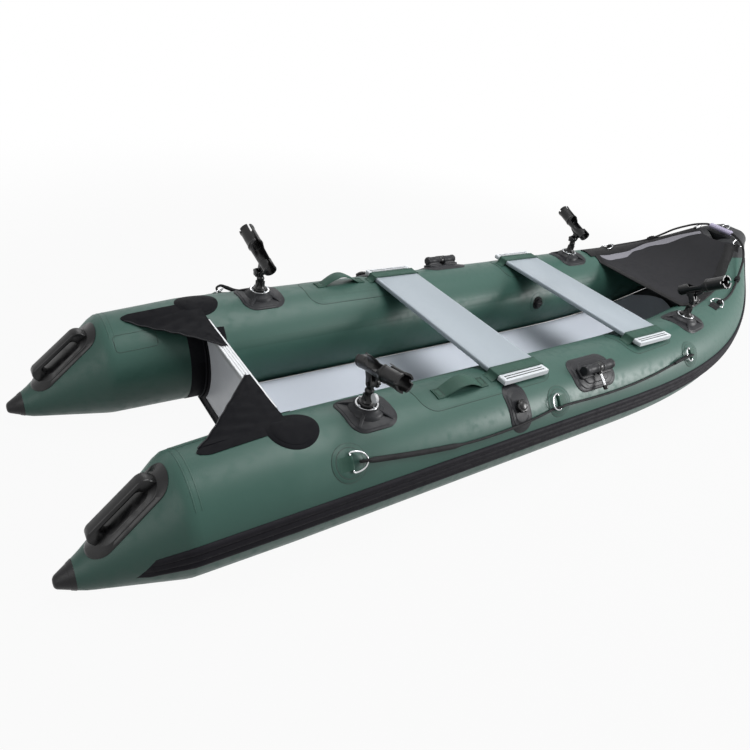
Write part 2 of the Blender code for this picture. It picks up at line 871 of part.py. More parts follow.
def build_air_deck(pale):
    """Drop-stitch deck with a rounded nose that follows the bottom up between the tubes."""
    aft = TRANSOM_STATION + TRANSOM_THICKNESS / 2 + CLEARANCE
    reach = DECK_NOSE_END - DECK_NOSE_START
    right = [(DECK_HALF_WIDTH, aft)]
    for step in range(DECK_NOSE_STEPS):
        turn = math.radians(90 * step / DECK_NOSE_STEPS)
        right.append((DECK_HALF_WIDTH * math.cos(turn), DECK_NOSE_START + reach * math.sin(turn)))
    outline = right + [(0.0, DECK_NOSE_END)] + [(-x, y) for x, y in reversed(right)]
    mesh = slab_mesh("air_deck", outline, 0.0, DECK_THICKNESS)
    work = bmesh.new()
    work.from_mesh(mesh)
    lines = {station for _, station in right} | set(skin_rows())
    for station in sorted(s for s in lines if SWEEP_START <= s < DECK_NOSE_END):
        everything = work.verts[:] + work.edges[:] + work.faces[:]
        bmesh.ops.bisect_plane(
            work, geom=everything, dist=0.00001, plane_co=(0, station, 0), plane_no=(0, 1, 0)
        )
    for corner in work.verts:
        corner.co.z += deck_bottom(corner.co.y)
        corner.co.y = fore(corner.co.y)
    work.to_mesh(mesh)
    work.free()
    item = link("air_deck", mesh, pale)
    for name in SIDES:
        seat_on_tube(item, name)


# The transom


def build_transom(panel, aluminium, black):
    """Transom board, its capping channel and the folded gussets at its ends."""
    half = TRANSOM_THICKNESS / 2
    aft = fore(TRANSOM_STATION)
    low = (-TRANSOM_HALF_WIDTH, aft - half, deck_bottom())
    high = (TRANSOM_HALF_WIDTH, aft + half, TRANSOM_TOP)
    board = link("transom_board", box_mesh("transom_board", low, high), panel)
    for name in SIDES:
        seat_on_tube(board, name)

    inner = half + CLEARANCE
    outer = CAP_WIDTH / 2
    top = TRANSOM_TOP + CLEARANCE + CAP_WALL
    lip = inner + CAP_WALL
    groove = CAP_WIDTH / 8
    profile = [
        (-lip, top - CAP_DEPTH),
        (-lip, top - CAP_DEPTH / 2),
        (-outer, top - CAP_DEPTH / 2),
        (-outer, top),
        (-groove * 2, top),
        (-groove, top - CAP_GROOVE),
        (groove, top - CAP_GROOVE),
        (groove * 2, top),
        (outer, top),
        (outer, top - CAP_DEPTH / 2),
        (lip, top - CAP_DEPTH / 2),
        (lip, top - CAP_DEPTH),
        (inner, top - CAP_DEPTH),
        (inner, top - CAP_WALL),
        (-inner, top - CAP_WALL),
        (-inner, top - CAP_DEPTH),
    ]
    channel = slab_mesh("transom_cap", profile, -CAP_HALF_LENGTH, CAP_HALF_LENGTH)
    upright = Matrix(((0, 0, 1, 0), (1, 0, 0, aft), (0, 1, 0, 0), (0, 0, 0, 1)))
    link("transom_cap", moved(channel, upright), aluminium)

    bottom = max(top, 2 * TUBE_RADIUS) + CLEARANCE
    front = aft + outer
    for name, side in SIDES.items():
        crest = TUBE_OFFSET
        flap = [
            (crest, fore(GUSSET_TIP_STATION) + 0.02),
            (crest, front + 0.004),
            (crest - 0.080, front + 0.004),
            (GUSSET_INNER_X + 0.012, front - 0.002),
            (GUSSET_INNER_X, front - 0.016),
        ]
        flap = [(x * side, y) for x, y in flap]
        sheet = slab_mesh("flap", flap, bottom, bottom + GUSSET_THICKNESS)
        middle = GUSSET_PATCH_STATION
        reach = middle - GUSSET_TIP_STATION
        width = GUSSET_BAND_HALF_WIDTH
        outline = [(-reach, -0.010), (-reach, 0.010), (-reach / 2, 0.7 * width)]
        for step in range(13):
            turn = math.radians(150 - 25 * step)
            outline.append((GUSSET_PATCH_RADIUS * math.cos(turn), GUSSET_PATCH_RADIUS * math.sin(turn)))
        outline.append((-reach / 2, -0.7 * width))
        band = skin_patch(name, middle, 0.0, outline, GUSSET_THICKNESS + 0.001)
        link(f"{name}_gusset", joined(band, sheet), black)


def skin_patch(name, station, angle, outline, thickness, depth=0.05):
    """Patch that follows the skin of the named tube, with the touching gap under it."""
    side = SIDES[name]
    frame = skin_frame(side, station, angle)
    block = moved(slab_mesh("patch", outline, -depth, depth), frame)
    grown = tube_mesh("grown", side, thickness + CLEARANCE, whole=True)
    patch = kept_inside(block, grown)
    return carved(patch, tube_mesh("space", side, CLEARANCE, whole=True))


# Benches


def crest_height(station):
    """Height of a tube's crest, on straight lines between its rings."""
    return height_between(tube_stations(), station, 0.0)


def bench_bottom(station):
    """Underside of a bench that rests on the higher of the two crests under its edges."""
    edges = (station - BENCH_WIDTH / 2, station + BENCH_WIDTH / 2)
    return max(crest_height(edge) for edge in edges) + CLEARANCE


def build_benches(aluminium, green):
    """Bench planks and the sleeves on the tubes that hold their ends."""
    upright = Matrix(((0, 0, 1, 0), (1, 0, 0, 0), (0, 1, 0, 0), (0, 0, 0, 1)))
    for place, station in zip(("aft", "fore"), BENCH_STATIONS):
        bottom = bench_bottom(station)
        outline = rounded_outline(BENCH_WIDTH, BENCH_THICKNESS, BENCH_EDGE_RADIUS, 2)
        plank = slab_mesh("plank", outline, -BENCH_HALF_LENGTH, BENCH_HALF_LENGTH)
        item = link(f"{place}_bench", moved(plank, upright), aluminium)
        item.location = (0, fore(station), bottom + BENCH_THICKNESS / 2)

        inner = BENCH_WIDTH / 2 + RUNNING_FIT
        outer = inner + SLEEVE_WALL
        ceiling = bottom + BENCH_THICKNESS + RUNNING_FIT
        floor = bottom - SLEEVE_DEPTH
        bend = SLEEVE_WALL
        staple = [
            (-outer - bend, floor),
            (-outer, ceiling - 2 * bend),
            (-outer + bend, ceiling + SLEEVE_WALL),
            (outer - bend, ceiling + SLEEVE_WALL),
            (outer, ceiling - 2 * bend),
            (outer + bend, floor),
            (inner, floor),
            (inner, ceiling),
            (-inner, ceiling),
            (-inner, floor),
        ]
        for name, side in SIDES.items():
            low, high = sorted((side * SLEEVE_INNER_X, side * (SLEEVE_INNER_X + SLEEVE_LENGTH)))
            mesh = moved(slab_mesh("sleeve", staple, low, high), upright)
            mesh.transform(Matrix.Translation((0, fore(station), 0)))
            mesh = carved(mesh, tube_mesh("space", side, CLEARANCE, whole=True))
            link(f"{name}_{place}_bench_sleeve", mesh, green)


# Handles


def arch_outline(span, tab, rise, thickness, steps=8):
    """Side view of a strap that lies flat at both ends and humps up between them."""
    path = [(-span / 2, 0.0)]
    run = span - 2 * tab
    for step in range(steps + 1):
        share = step / steps
        hump = (1.0 - math.cos(2 * math.pi * share)) / 2
        path.append((-run / 2 + run * share, rise * hump**0.6))
    path.append((span / 2, 0.0))
    return [(x, z + thickness) for x, z in path] + [(x, z) for x, z in reversed(path)]


def build_strap_handles(green):
    """Soft carrying straps welded along the tops of the tubes."""
    stand = Matrix.Rotation(math.radians(90), 4, "X")
    outline = arch_outline(STRAP_SPAN, STRAP_TAB, STRAP_RISE, STRAP_THICKNESS)
    for name, side in SIDES.items():
        strap = slab_mesh("strap", outline, -STRAP_WIDTH / 2, STRAP_WIDTH / 2)
        drop = Matrix.Translation((0, 0, -0.0005))
        mesh = moved(strap, skin_frame(side, STRAP_STATION, STRAP_ANGLE) @ drop @ stand)
        seat_on_tube(link(f"{name}_strap_handle", mesh, green), name)


def build_stern_handles(black):
    """Moulded grab handles on the slopes of the stern cones."""
    half = GRAB_BAR_LENGTH / 2
    top = GRAB_BAR_HEIGHT
    wall = GRAB_BAR_THICKNESS
    foot_end = -GRAB_FOOT_DEPTH
    bridge = [
        (-half, foot_end),
        (-half + 0.004, top * 0.55),
        (-half + 0.020, top * 0.90),
        (-half + 0.040, top),
        (half - 0.040, top),
        (half - 0.020, top * 0.90),
        (half - 0.004, top * 0.55),
        (half, foot_end),
        (half - 1.6 * wall, foot_end),
        (half - 1.7 * wall, top * 0.45),
        (half - 2.5 * wall, top - wall),
        (-half + 2.5 * wall, top - wall),
        (-half + 1.7 * wall, top * 0.45),
        (-half + 1.6 * wall, foot_end),
    ]
    stand = Matrix.Rotation(math.radians(90), 4, "X")
    for name, side in SIDES.items():
        frame = skin_frame(side, GRAB_STATION, GRAB_ANGLE)
        foot = rounded_outline(GRAB_BASE_LENGTH, GRAB_BASE_WIDTH, GRAB_BASE_WIDTH / 2 - 0.001)
        base = skin_patch(name, GRAB_STATION, GRAB_ANGLE, foot, GRAB_BASE_THICKNESS)
        step = rounded_outline(
            GRAB_BASE_LENGTH - 2 * GRAB_STEP_INSET,
            GRAB_BASE_WIDTH - 3 * GRAB_STEP_INSET,
            (GRAB_BASE_WIDTH - 3 * GRAB_STEP_INSET) / 2 - 0.001,
        )
        riser = skin_patch(name, GRAB_STATION, GRAB_ANGLE, step, GRAB_STEP_RISE)
        lowered = [(x, z + GRAB_BASE_THICKNESS) for x, z in bridge]
        bar = slab_mesh("bar", lowered, -GRAB_BAR_WIDTH / 2, GRAB_BAR_WIDTH / 2)
        bar = carved(moved(bar, frame @ stand), tube_mesh("space", side, CLEARANCE, whole=True))
        mesh = joined(base, riser, bar)
        link(f"{name}_stern_handle", mesh, black)


# Rod holders


def rod_frames(name, place):
    """World frames of a rod holder's foot, of its neck at its heading and of its cradle."""
    side = SIDES[name]
    heading, rise = ROD_POSES[(name, place)]
    foot = Matrix.Translation(skin_point(side, ROD_STATIONS[place], 0.0))
    neck = foot @ Matrix.Rotation(math.radians(90 - heading), 4, "Z")
    hinge = neck @ Matrix.Translation((0, 0, ROD_HINGE_HEIGHT))
    cradle = hinge @ Matrix.Rotation(math.radians(-rise), 4, "Y")
    return foot, neck, cradle


def rod_pad_mesh(name, place):
    """Rubber foot glued on the tube, with a conical boss."""
    side = SIDES[name]
    foot, _, _ = rod_frames(name, place)
    outline = rounded_outline(ROD_PAD_SIZE, ROD_PAD_SIZE, ROD_PAD_CORNER)
    pad = skin_patch(name, ROD_STATIONS[place], 0.0, outline, ROD_PAD_THICKNESS)
    boss = rod_mesh("boss", ROD_BOSS_FOOT, -0.012, ROD_BOSS_HEIGHT, 16, ROD_BOSS_TOP)
    boss = carved(moved(boss, foot), tube_mesh("space", side, CLEARANCE, whole=True))
    return joined(pad, boss)


def rod_neck_mesh():
    """Swivel foot, column and tongue, with the hinge bolt's bore, about the swivel axis."""
    base = ROD_BOSS_HEIGHT + CLEARANCE
    disc = rod_mesh("disc", ROD_NECK_FOOT, base, base + 0.009, 16)
    clear = ROD_HINGE_HEIGHT - ROD_TONGUE_RADIUS - 0.003
    column = rod_mesh("column", ROD_NECK_RADIUS + 0.003, base + 0.004, clear, 12, 0.011)
    web = box_mesh(
        "web",
        (-0.013, -ROD_TONGUE_WIDTH / 2, clear - 0.004),
        (0.013, ROD_TONGUE_WIDTH / 2, ROD_HINGE_HEIGHT),
    )
    tongue = moved(
        rod_mesh("tongue", ROD_TONGUE_RADIUS, -ROD_TONGUE_WIDTH / 2, ROD_TONGUE_WIDTH / 2, 12),
        Matrix.Translation((0, 0, ROD_HINGE_HEIGHT)) @ turned_to("Y"),
    )
    bore = moved(
        rod_mesh("bore", ROD_BOLT_RADIUS + RUNNING_FIT, -0.02, 0.02, 8),
        Matrix.Translation((0, 0, ROD_HINGE_HEIGHT)) @ turned_to("Y"),
    )
    return carved(joined(disc, column, web, tongue), bore)


def rod_cradle_mesh():
    """Rod cradle about its hinge: X out of its mouth, Z out of the trough between its rings."""
    butt = -ROD_CRADLE_BEHIND
    mouth = butt + ROD_CRADLE_LENGTH
    collar = mouth - ROD_COLLAR_LENGTH
    trough = butt + ROD_BUTT_LENGTH
    lift = Matrix.Translation((0, 0, ROD_CRADLE_LIFT)) @ turned_to("X")
    waist = (ROD_BUTT_RADIUS - 0.001, trough - 0.010, collar + 0.002, 12, ROD_CRADLE_RADIUS - 0.001)
    shell = joined(
        moved(rod_mesh("collar", ROD_CRADLE_RADIUS, collar, mouth, 12), lift),
        moved(rod_mesh("waist", *waist), lift),
        moved(rod_mesh("butt", ROD_BUTT_RADIUS, butt, trough, 12), lift),
    )
    bore = joined(
        moved(rod_mesh("bore", ROD_BUTT_BORE, butt - 0.01, mouth + 0.01, 12), lift),
        moved(rod_mesh("wide", ROD_CRADLE_BORE, collar + 0.004, mouth + 0.01, 12), lift),
    )
    width = ROD_CRADLE_RADIUS + 0.01
    middle = ROD_CRADLE_LIFT
    above = middle + width
    beyond = mouth + 0.01
    half = ROD_SLOT_HALF_WIDTH
    opening = box_mesh("opening", (trough + 0.001, -width, middle + 0.010), (collar - 0.001, width, above))
    waist = box_mesh("low", (trough + 0.018, -width, middle - 0.004), (collar - 0.014, width, above))
    slot = box_mesh("slot", (collar - 0.01, -half, middle), (beyond, half, above))
    cross = box_mesh("cross", (mouth - ROD_MOUTH_NOTCH, -width, middle - half), (beyond, width, middle + half))
    cradle = carved(shell, bore, opening, waist, slot, cross)
    inner = ROD_TONGUE_WIDTH / 2 + CLEARANCE
    for sign in (-1, 1):
        low, high = sorted((sign * inner, sign * (inner + ROD_EAR_WIDTH)))
        ear = moved(rod_mesh("ear", ROD_TONGUE_RADIUS, low, high, 12), turned_to("Y"))
        web = box_mesh(
            "web",
            (-ROD_TONGUE_RADIUS, low, 0.0),
            (ROD_TONGUE_RADIUS, high, middle - ROD_BUTT_BORE - 0.001),
        )
        cradle = joined(cradle, ear, web)
    hole = moved(rod_mesh("hole", ROD_BOLT_RADIUS + RUNNING_FIT, -0.03, 0.03, 8), turned_to("Y"))
    return carved(cradle, hole)


def rod_knob_mesh():
    """Thumb screw: a lobed knob, the bolt through the hinge and its head, along Y."""
    outer = ROD_TONGUE_WIDTH / 2 + ROD_EAR_WIDTH + 2 * CLEARANCE
    outline = lobed_outline(ROD_KNOB_RADIUS, ROD_KNOB_RADIUS * 0.72, 5)
    knob = slab_mesh("knob", outline, outer, outer + ROD_KNOB_WIDTH)
    bolt = rod_mesh("bolt", ROD_BOLT_RADIUS, -outer - 0.003, outer + 0.002, 8)
    head = rod_mesh("head", ROD_BOLT_HEAD, -outer - 0.005, -outer, 8)
    return moved(joined(knob, bolt, head), turned_to("Y"))


def lobed_outline(radius, waist, lobes):
    """Star outline with blunt points."""
    outline = []
    for lobe in range(lobes):
        for offset, reach in ((-0.16, radius), (0.16, radius), (0.5, waist)):
            turn = 2 * math.pi * (lobe + offset) / lobes
            outline.append((reach * math.cos(turn), reach * math.sin(turn)))
    return outline


def build_rod_holders(black):
    """Four rod holders, each a pad, a swivelling neck, a tilting cradle and its thumb screw."""
    for (name, place) in ROD_POSES:
        title = f"{name}_{place}_rod"
        _, neck, cradle = rod_frames(name, place)
        link(f"{title}_pad", rod_pad_mesh(name, place), black)
        item = link(f"{title}_neck", rod_neck_mesh(), black)
        item.matrix_world = neck
        item = link(f"{title}_cradle", rod_cradle_mesh(), black)
        item.matrix_world = cradle
        item = link(f"{title}_knob", rod_knob_mesh(), black)
        item.matrix_world = cradle


# Oarlocks, knobs, valves and rings


def build_oarlocks(rubber, steel):
    """Stepped rubber oarlock blocks, each with a steel pin that swings on its barrel."""
    half = OARLOCK_BARREL_LENGTH / 2
    gap = OARLOCK_SADDLE_WIDTH / 2 + CLEARANCE
    height = OARLOCK_BARREL_HEIGHT
    for name, side in SIDES.items():
        frame = skin_frame(side, OARLOCK_STATION, OARLOCK_ANGLE)
        outline = rounded_outline(OARLOCK_PAD_LENGTH, OARLOCK_PAD_WIDTH, OARLOCK_PAD_CORNER)
        pad = skin_patch(name, OARLOCK_STATION, OARLOCK_ANGLE, outline, OARLOCK_PAD_THICKNESS)
        inset = OARLOCK_STEP_INSET
        step = rounded_outline(
            OARLOCK_PAD_LENGTH - 2 * inset, OARLOCK_PAD_WIDTH - 2 * inset, OARLOCK_PAD_CORNER - inset / 2
        )
        solids = [moved(slab_mesh("step", step, 0.0, OARLOCK_STEP_RISE), frame)]
        for low, high in ((-half, -gap), (gap, half)):
            barrel = moved(
                rod_mesh("barrel", OARLOCK_BARREL_RADIUS, low, high, 12),
                frame @ Matrix.Translation((0, 0, height)) @ turned_to("X"),
            )
            foot = box_mesh("foot", (low + 0.004, -0.013, 0.008), (high - 0.004, 0.013, height))
            solids += [barrel, moved(foot, frame)]
        axle = rod_mesh("axle", OARLOCK_AXLE_RADIUS, -gap - 0.01, gap + 0.01, 10)
        solids.append(moved(axle, frame @ Matrix.Translation((0, 0, height)) @ turned_to("X")))
        block = joined(pad, *solids)
        link(f"{name}_oarlock_block", block, rubber)

        saddle = OARLOCK_SADDLE_WIDTH / 2
        ring = moved(rod_mesh("ring", OARLOCK_BARREL_RADIUS, -saddle, saddle, 12), turned_to("X"))
        pin = rod_mesh("pin", OARLOCK_PIN_RADIUS, 0.012, OARLOCK_PIN_LENGTH, 8)
        ball = ball_mesh("ball", OARLOCK_BALL_RADIUS, (0, 0, OARLOCK_PIN_LENGTH))
        bore = moved(rod_mesh("bore", OARLOCK_AXLE_RADIUS + 2 * RUNNING_FIT, -0.03, 0.03, 10), turned_to("X"))
        mesh = carved(joined(ring, pin, ball), bore)
        item = link(f"{name}_oarlock_pin", mesh, steel)
        swing = Matrix.Rotation(math.radians(side * (90 + OARLOCK_PIN_DROOP)), 4, "X")
        item.matrix_world = frame @ Matrix.Translation((0, 0, height)) @ swing


def build_paddle_knobs(black):
    """Star knobs that clamp a stowed paddle to each tube."""
    foot_top = KNOB_FOOT_HEIGHT
    for name, side in SIDES.items():
        foot = rod_mesh("foot", KNOB_FOOT_RADIUS, CLEARANCE, foot_top, 12)
        star = slab_mesh(
            "star", lobed_outline(KNOB_RADIUS, KNOB_WAIST, KNOB_POINTS), foot_top - 0.001, foot_top + KNOB_HEIGHT
        )
        item = link(f"{name}_paddle_knob", joined(star, foot), black)
        item.matrix_world = skin_frame(side, KNOB_STATION, KNOB_ANGLE)


def build_valve_caps(black):
    """Bayonet caps on the tubes' inflation valves."""
    low = VALVE_FLANGE_HEIGHT + CLEARANCE
    for name, side in SIDES.items():
        cap = rod_mesh("cap", VALVE_CAP_RADIUS, low, low + VALVE_CAP_HEIGHT, 14, VALVE_CAP_RADIUS - 0.003)
        rib = box_mesh("rib", (-0.020, -0.004, low + 0.002), (0.020, 0.004, low + VALVE_CAP_HEIGHT + 0.006))
        item = link(f"{name}_valve_cap", joined(cap, rib), black)
        item.matrix_world = skin_frame(side, VALVE_STATION, VALVE_ANGLE)


def ring_mesh(half_width, reach, wire):
    """D-shaped wire ring: its bar on the X axis and its loop towards Y."""
    points = []
    for step in range(RING_STEPS + 1):
        turn = math.pi * step / RING_STEPS
        rounded = math.sin(turn) ** 0.8 if 0 < step < RING_STEPS else 0.0
        points.append((half_width * math.cos(turn), reach * rounded, 0.0))
    return pipe_mesh("ring", points, [wire] * len(points), 1, cyclic=True)


def build_rings(steel):
    """Stainless D-rings, hung in the tabs on the tubes."""
    for name, side in SIDES.items():
        for place in RING_PLACES:
            mesh = ring_mesh(RING_HALF_WIDTH, RING_REACH, RING_WIRE_RADIUS)
            item = smooth(link(f"{name}_{place}_ring", mesh, steel))
            item.matrix_world = ring_frame(side, place)


# Bow cover and lines


def cover_row(station, side):
    """Points of the cover on one tube, from its outboard hem to where it leaves the tube."""
    low, first, high, last = COVER_HEMS[side]
    share = min(max((station - first) / (last - first), 0.0), 1.0)
    hem = low + (high - low) * share
    angles = (hem, (hem - 22.0) / 2, -22.0, -30.0)
    return [skin_point(side, station, angle, CLEARANCE) for angle in angles]


def build_bow_cover(black):
    """Spray cover bonded over the tubes' crests and stretched between them."""
    inner = [s for s in tube_stations() if COVER_AFT_STATION + 0.03 < s < COVER_FORE_STATION - 0.01]
    rows = []
    for station in (COVER_AFT_STATION, *inner, COVER_FORE_STATION):
        port = cover_row(station, -1)
        rows.append(port + [(port[-1] + mirrored(port[-1], -1)) / 2] + cover_row(station, 1)[::-1])
    item = grid_sheet("bow_cover", rows, COVER_THICKNESS, black)
    for name in SIDES:
        seat_on_tube(item, name)


def build_lines(rope, lilac):
    """Grab lines along both tubes, and the bow line with its grip."""
    for name, side in SIDES.items():
        points = [skin_point(side, *place) for place in GRAB_LINE]
        mesh = pipe_mesh("line", points, [ROPE_RADIUS] * len(points), 2)
        smooth(link(f"{name}_grab_line", mesh, rope))
    half = [skin_point(1, *place) for place in BOW_LINE]
    half += [Vector(GRIP_PLACE) + Vector((share * GRIP_LENGTH, 0, 0)) for share in (0.61, 0.55)]
    points = half + [mirrored(point, -1) for point in reversed(half)]
    mesh = pipe_mesh("line", points, [BOW_ROPE_RADIUS] * len(points), 2)
    smooth(link("bow_line", mesh, rope))

    place = Matrix.Translation(GRIP_PLACE) @ turned_to("X")
    body = rod_mesh("grip", GRIP_RADIUS, -GRIP_LENGTH / 2, GRIP_LENGTH / 2, 14)
    bore = rod_mesh("bore", BOW_ROPE_RADIUS + 3 * RUNNING_FIT, -GRIP_LENGTH, GRIP_LENGTH, 10)
    smooth(link("bow_grip", moved(carved(body, bore), place), lilac))


def main():
    """Build every piece of the boat."""
    global KAYAK, CUTTERS
    clear_scene()
    KAYAK = make_collection("inflatable_kayak")
    CUTTERS = make_collection("cutters")
    green = make_material("tube_green", (0.045, 0.095, 0.075), 0.45)
    grey = make_material("bottom_grey", (0.20, 0.21, 0.22), 0.6)
    pale = make_material("deck_grey", (0.42, 0.44, 0.48), 0.6)
    panel = make_material("transom_panel", (0.55, 0.55, 0.57), 0.5)
    aluminium = make_material("anodised_aluminium", (0.62, 0.66, 0.70), 0.35, 0.6)
    black = make_material("moulded_black", (0.02, 0.02, 0.022), 0.5)
    rubber = make_material("pad_rubber", (0.05, 0.05, 0.055), 0.6)
    steel = make_material("stainless_steel", (0.75, 0.75, 0.76), 0.2, 1.0)
    rope = make_material("rope_black", (0.02, 0.02, 0.02), 0.8)
    lilac = make_material("grip_grey", (0.50, 0.48, 0.58), 0.5)

    build_tubes(green)
    build_stern_caps(black)
    build_nose_cap(black)
    build_rub_strakes(rubber)
    build_bottom_skin(grey)
    build_air_deck(pale)
    build_transom(panel, aluminium, black)
    build_benches(aluminium, green)
    build_strap_handles(green)
    build_stern_handles(black)
    build_rod_holders(black)
    build_oarlocks(rubber, steel)
    build_paddle_knobs(black)
    build_valve_caps(black)
    build_rings(steel)
    build_bow_cover(black)
    build_lines(rope, lilac)


main()
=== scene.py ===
"""Looks of an inflatable two-seat kayak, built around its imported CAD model.

Two swept air tubes carry a transom, an air deck, two benches, rod holders, oarlocks, handles, rings,
a bow cover and their lines. Metres, +Z up, +Y to the bow, +X to starboard, with the origin on the
ground under the middle. A station is a distance forward of the stern tips, and an angle round a
tube is in degrees outboard of its crest.
"""

import logging
import math
from collections.abc import Callable, Iterable, Sequence
from dataclasses import dataclass, field
from enum import Enum

import bmesh
import bpy
from mathutils import Matrix, Vector, noise

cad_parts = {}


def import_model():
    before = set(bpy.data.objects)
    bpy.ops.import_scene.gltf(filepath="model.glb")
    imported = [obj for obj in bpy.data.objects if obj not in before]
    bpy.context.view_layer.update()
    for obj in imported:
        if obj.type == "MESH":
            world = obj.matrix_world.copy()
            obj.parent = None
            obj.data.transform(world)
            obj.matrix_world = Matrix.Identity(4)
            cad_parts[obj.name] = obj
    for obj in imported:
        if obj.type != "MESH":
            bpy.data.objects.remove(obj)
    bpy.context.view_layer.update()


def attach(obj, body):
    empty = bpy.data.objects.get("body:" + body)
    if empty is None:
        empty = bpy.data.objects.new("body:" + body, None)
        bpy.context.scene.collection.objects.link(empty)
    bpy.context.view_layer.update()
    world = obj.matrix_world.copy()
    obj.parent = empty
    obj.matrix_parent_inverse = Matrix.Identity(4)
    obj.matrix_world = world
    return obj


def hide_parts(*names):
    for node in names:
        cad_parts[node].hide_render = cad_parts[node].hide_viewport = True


LOG = logging.getLogger("kayak")
UP = Vector((0.0, 0.0, 1.0))
SHARP = 38.0
MERGE_DISTANCE = 0.000002
SUBSTEPS = 24
TAPE_SPACING = 0.02
COAT_ROUGHNESS = 0.25
Pair = tuple[float, float]


class Side(Enum):
    """The two sides of the boat, by the sign of their X."""

    PORT = -1
    STARBOARD = 1

    @property
    def tag(self) -> str:
        """The side's name as pieces carry it."""
        return self.name.lower()


class Berth(Enum):
    """Where a fitting of a pair stands along the boat."""

    AFT = "aft"
    FORE = "fore"


# Mesh building


def srgb(red: float, green: float, blue: float) -> tuple[float, float, float, float]:
    """Turn a display colour into a linear one.

    Args:
        red, green, blue: channels from 0 to 255.

    Returns:
        The linear colour with full alpha.
    """
    channels = []
    for value in (red, green, blue):
        share = value / 255.0
        channels.append(share / 12.92 if share <= 0.04045 else ((share + 0.055) / 1.055) ** 2.4)
    return (*channels, 1.0)


def ease(share: float) -> float:
    """Smooth step of a share held between 0 and 1."""
    share = min(max(share, 0.0), 1.0)
    return share * share * (3.0 - 2.0 * share)


def span(low: float, high: float, steps: int) -> list[float]:
    """Evenly spaced values from low to high, both included."""
    return [low + (high - low) * step / steps for step in range(steps + 1)]


def arc(radius: float, turns: Iterable[float], x: float = 0.0, y: float = 0.0) -> list[Pair]:
    """Points round a middle, at turns given in degrees."""
    angles = [math.radians(turn) for turn in turns]
    return [(x + radius * math.cos(angle), y + radius * math.sin(angle)) for angle in angles]


def rounded_box(length: float, width: float, corner: float, steps: int = 6) -> list[Pair]:
    """Outline of a rectangle with round corners.

    Args:
        length, width: full sizes along X and Y.
        corner: radius of the corners.
        steps: segments in each corner.

    Returns:
        Points anticlockwise round the origin.
    """
    outline = []
    for x_sign, y_sign, start in ((1, 1, 0), (-1, 1, 90), (-1, -1, 180), (1, -1, 270)):
        x, y = x_sign * (length / 2 - corner), y_sign * (width / 2 - corner)
        outline += arc(corner, [start + 90 * step / steps for step in range(steps + 1)], x, y)
    return outline


def disc(radius: float, steps: int = 48) -> list[Pair]:
    """Outline of a circle."""
    turns = [2 * math.pi * step / steps for step in range(steps)]
    return [(radius * math.cos(turn), radius * math.sin(turn)) for turn in turns]


def both_halves(half: Sequence[Pair]) -> list[Pair]:
    """A half outline followed by its mirror image, run backwards."""
    return [*half, *((-x, y) for x, y in reversed(half))]


def flipped(point: Vector, share: float = -1) -> Vector:
    """The point with its distance from the middle plane times a share, or a sign."""
    return Vector((point.x * share, point.y, point.z))


def densified(outline: Sequence[Pair], longest: float) -> list[Pair]:
    """The same closed outline with extra points, so that no edge is longer than the limit."""
    points = []
    for (x0, y0), (x1, y1) in zip(outline, [*outline[1:], outline[0]]):
        pieces = max(1, math.ceil(math.hypot(x1 - x0, y1 - y0) / longest))
        points += [(x0 + (x1 - x0) * i / pieces, y0 + (y1 - y0) * i / pieces) for i in range(pieces)]
    return points


def inset(outline: Sequence[Pair], amount: float) -> list[Pair]:
    """Move a closed outline inwards.

    Args:
        outline: points anticlockwise.
        amount: distance inwards, or outwards if it is negative.

    Returns:
        As many points as the outline has.
    """
    moved = []
    count = len(outline)
    for index in range(count):
        before, here, after = outline[index - 1], outline[index], outline[(index + 1) % count]
        first = Vector((here[0] - before[0], here[1] - before[1]))
        second = Vector((after[0] - here[0], after[1] - here[1]))
        if first.length < 1e-9 or second.length < 1e-9:
            first = second = first if first.length > second.length else second
        first.normalize()
        second.normalize()
        normal = Vector((-first.y - second.y, first.x + second.x))
        if normal.length < 1e-6:
            normal = Vector((-first.y, first.x))
        normal.normalize()
        lean = max(0.35, normal.dot(Vector((-first.y, first.x))))
        moved.append((here[0] + normal.x * amount / lean, here[1] + normal.y * amount / lean))
    return moved


def turned(degrees: float, axis: str = "Z") -> Matrix:
    """Rotation about an axis."""
    return Matrix.Rotation(math.radians(degrees), 4, axis)


def laid(axis: str) -> Matrix:
    """Rotation that lays a solid made along Z along X or Y instead."""
    return turned(90, "Y") if axis == "X" else turned(-90, "X")


def at(x: float, y: float, z: float) -> Matrix:
    """Translation matrix."""
    return Matrix.Translation((x, y, z))


ON_EDGE = Matrix(((1, 0, 0, 0), (0, 0, -1, 0), (0, 1, 0, 0), (0, 0, 0, 1)))


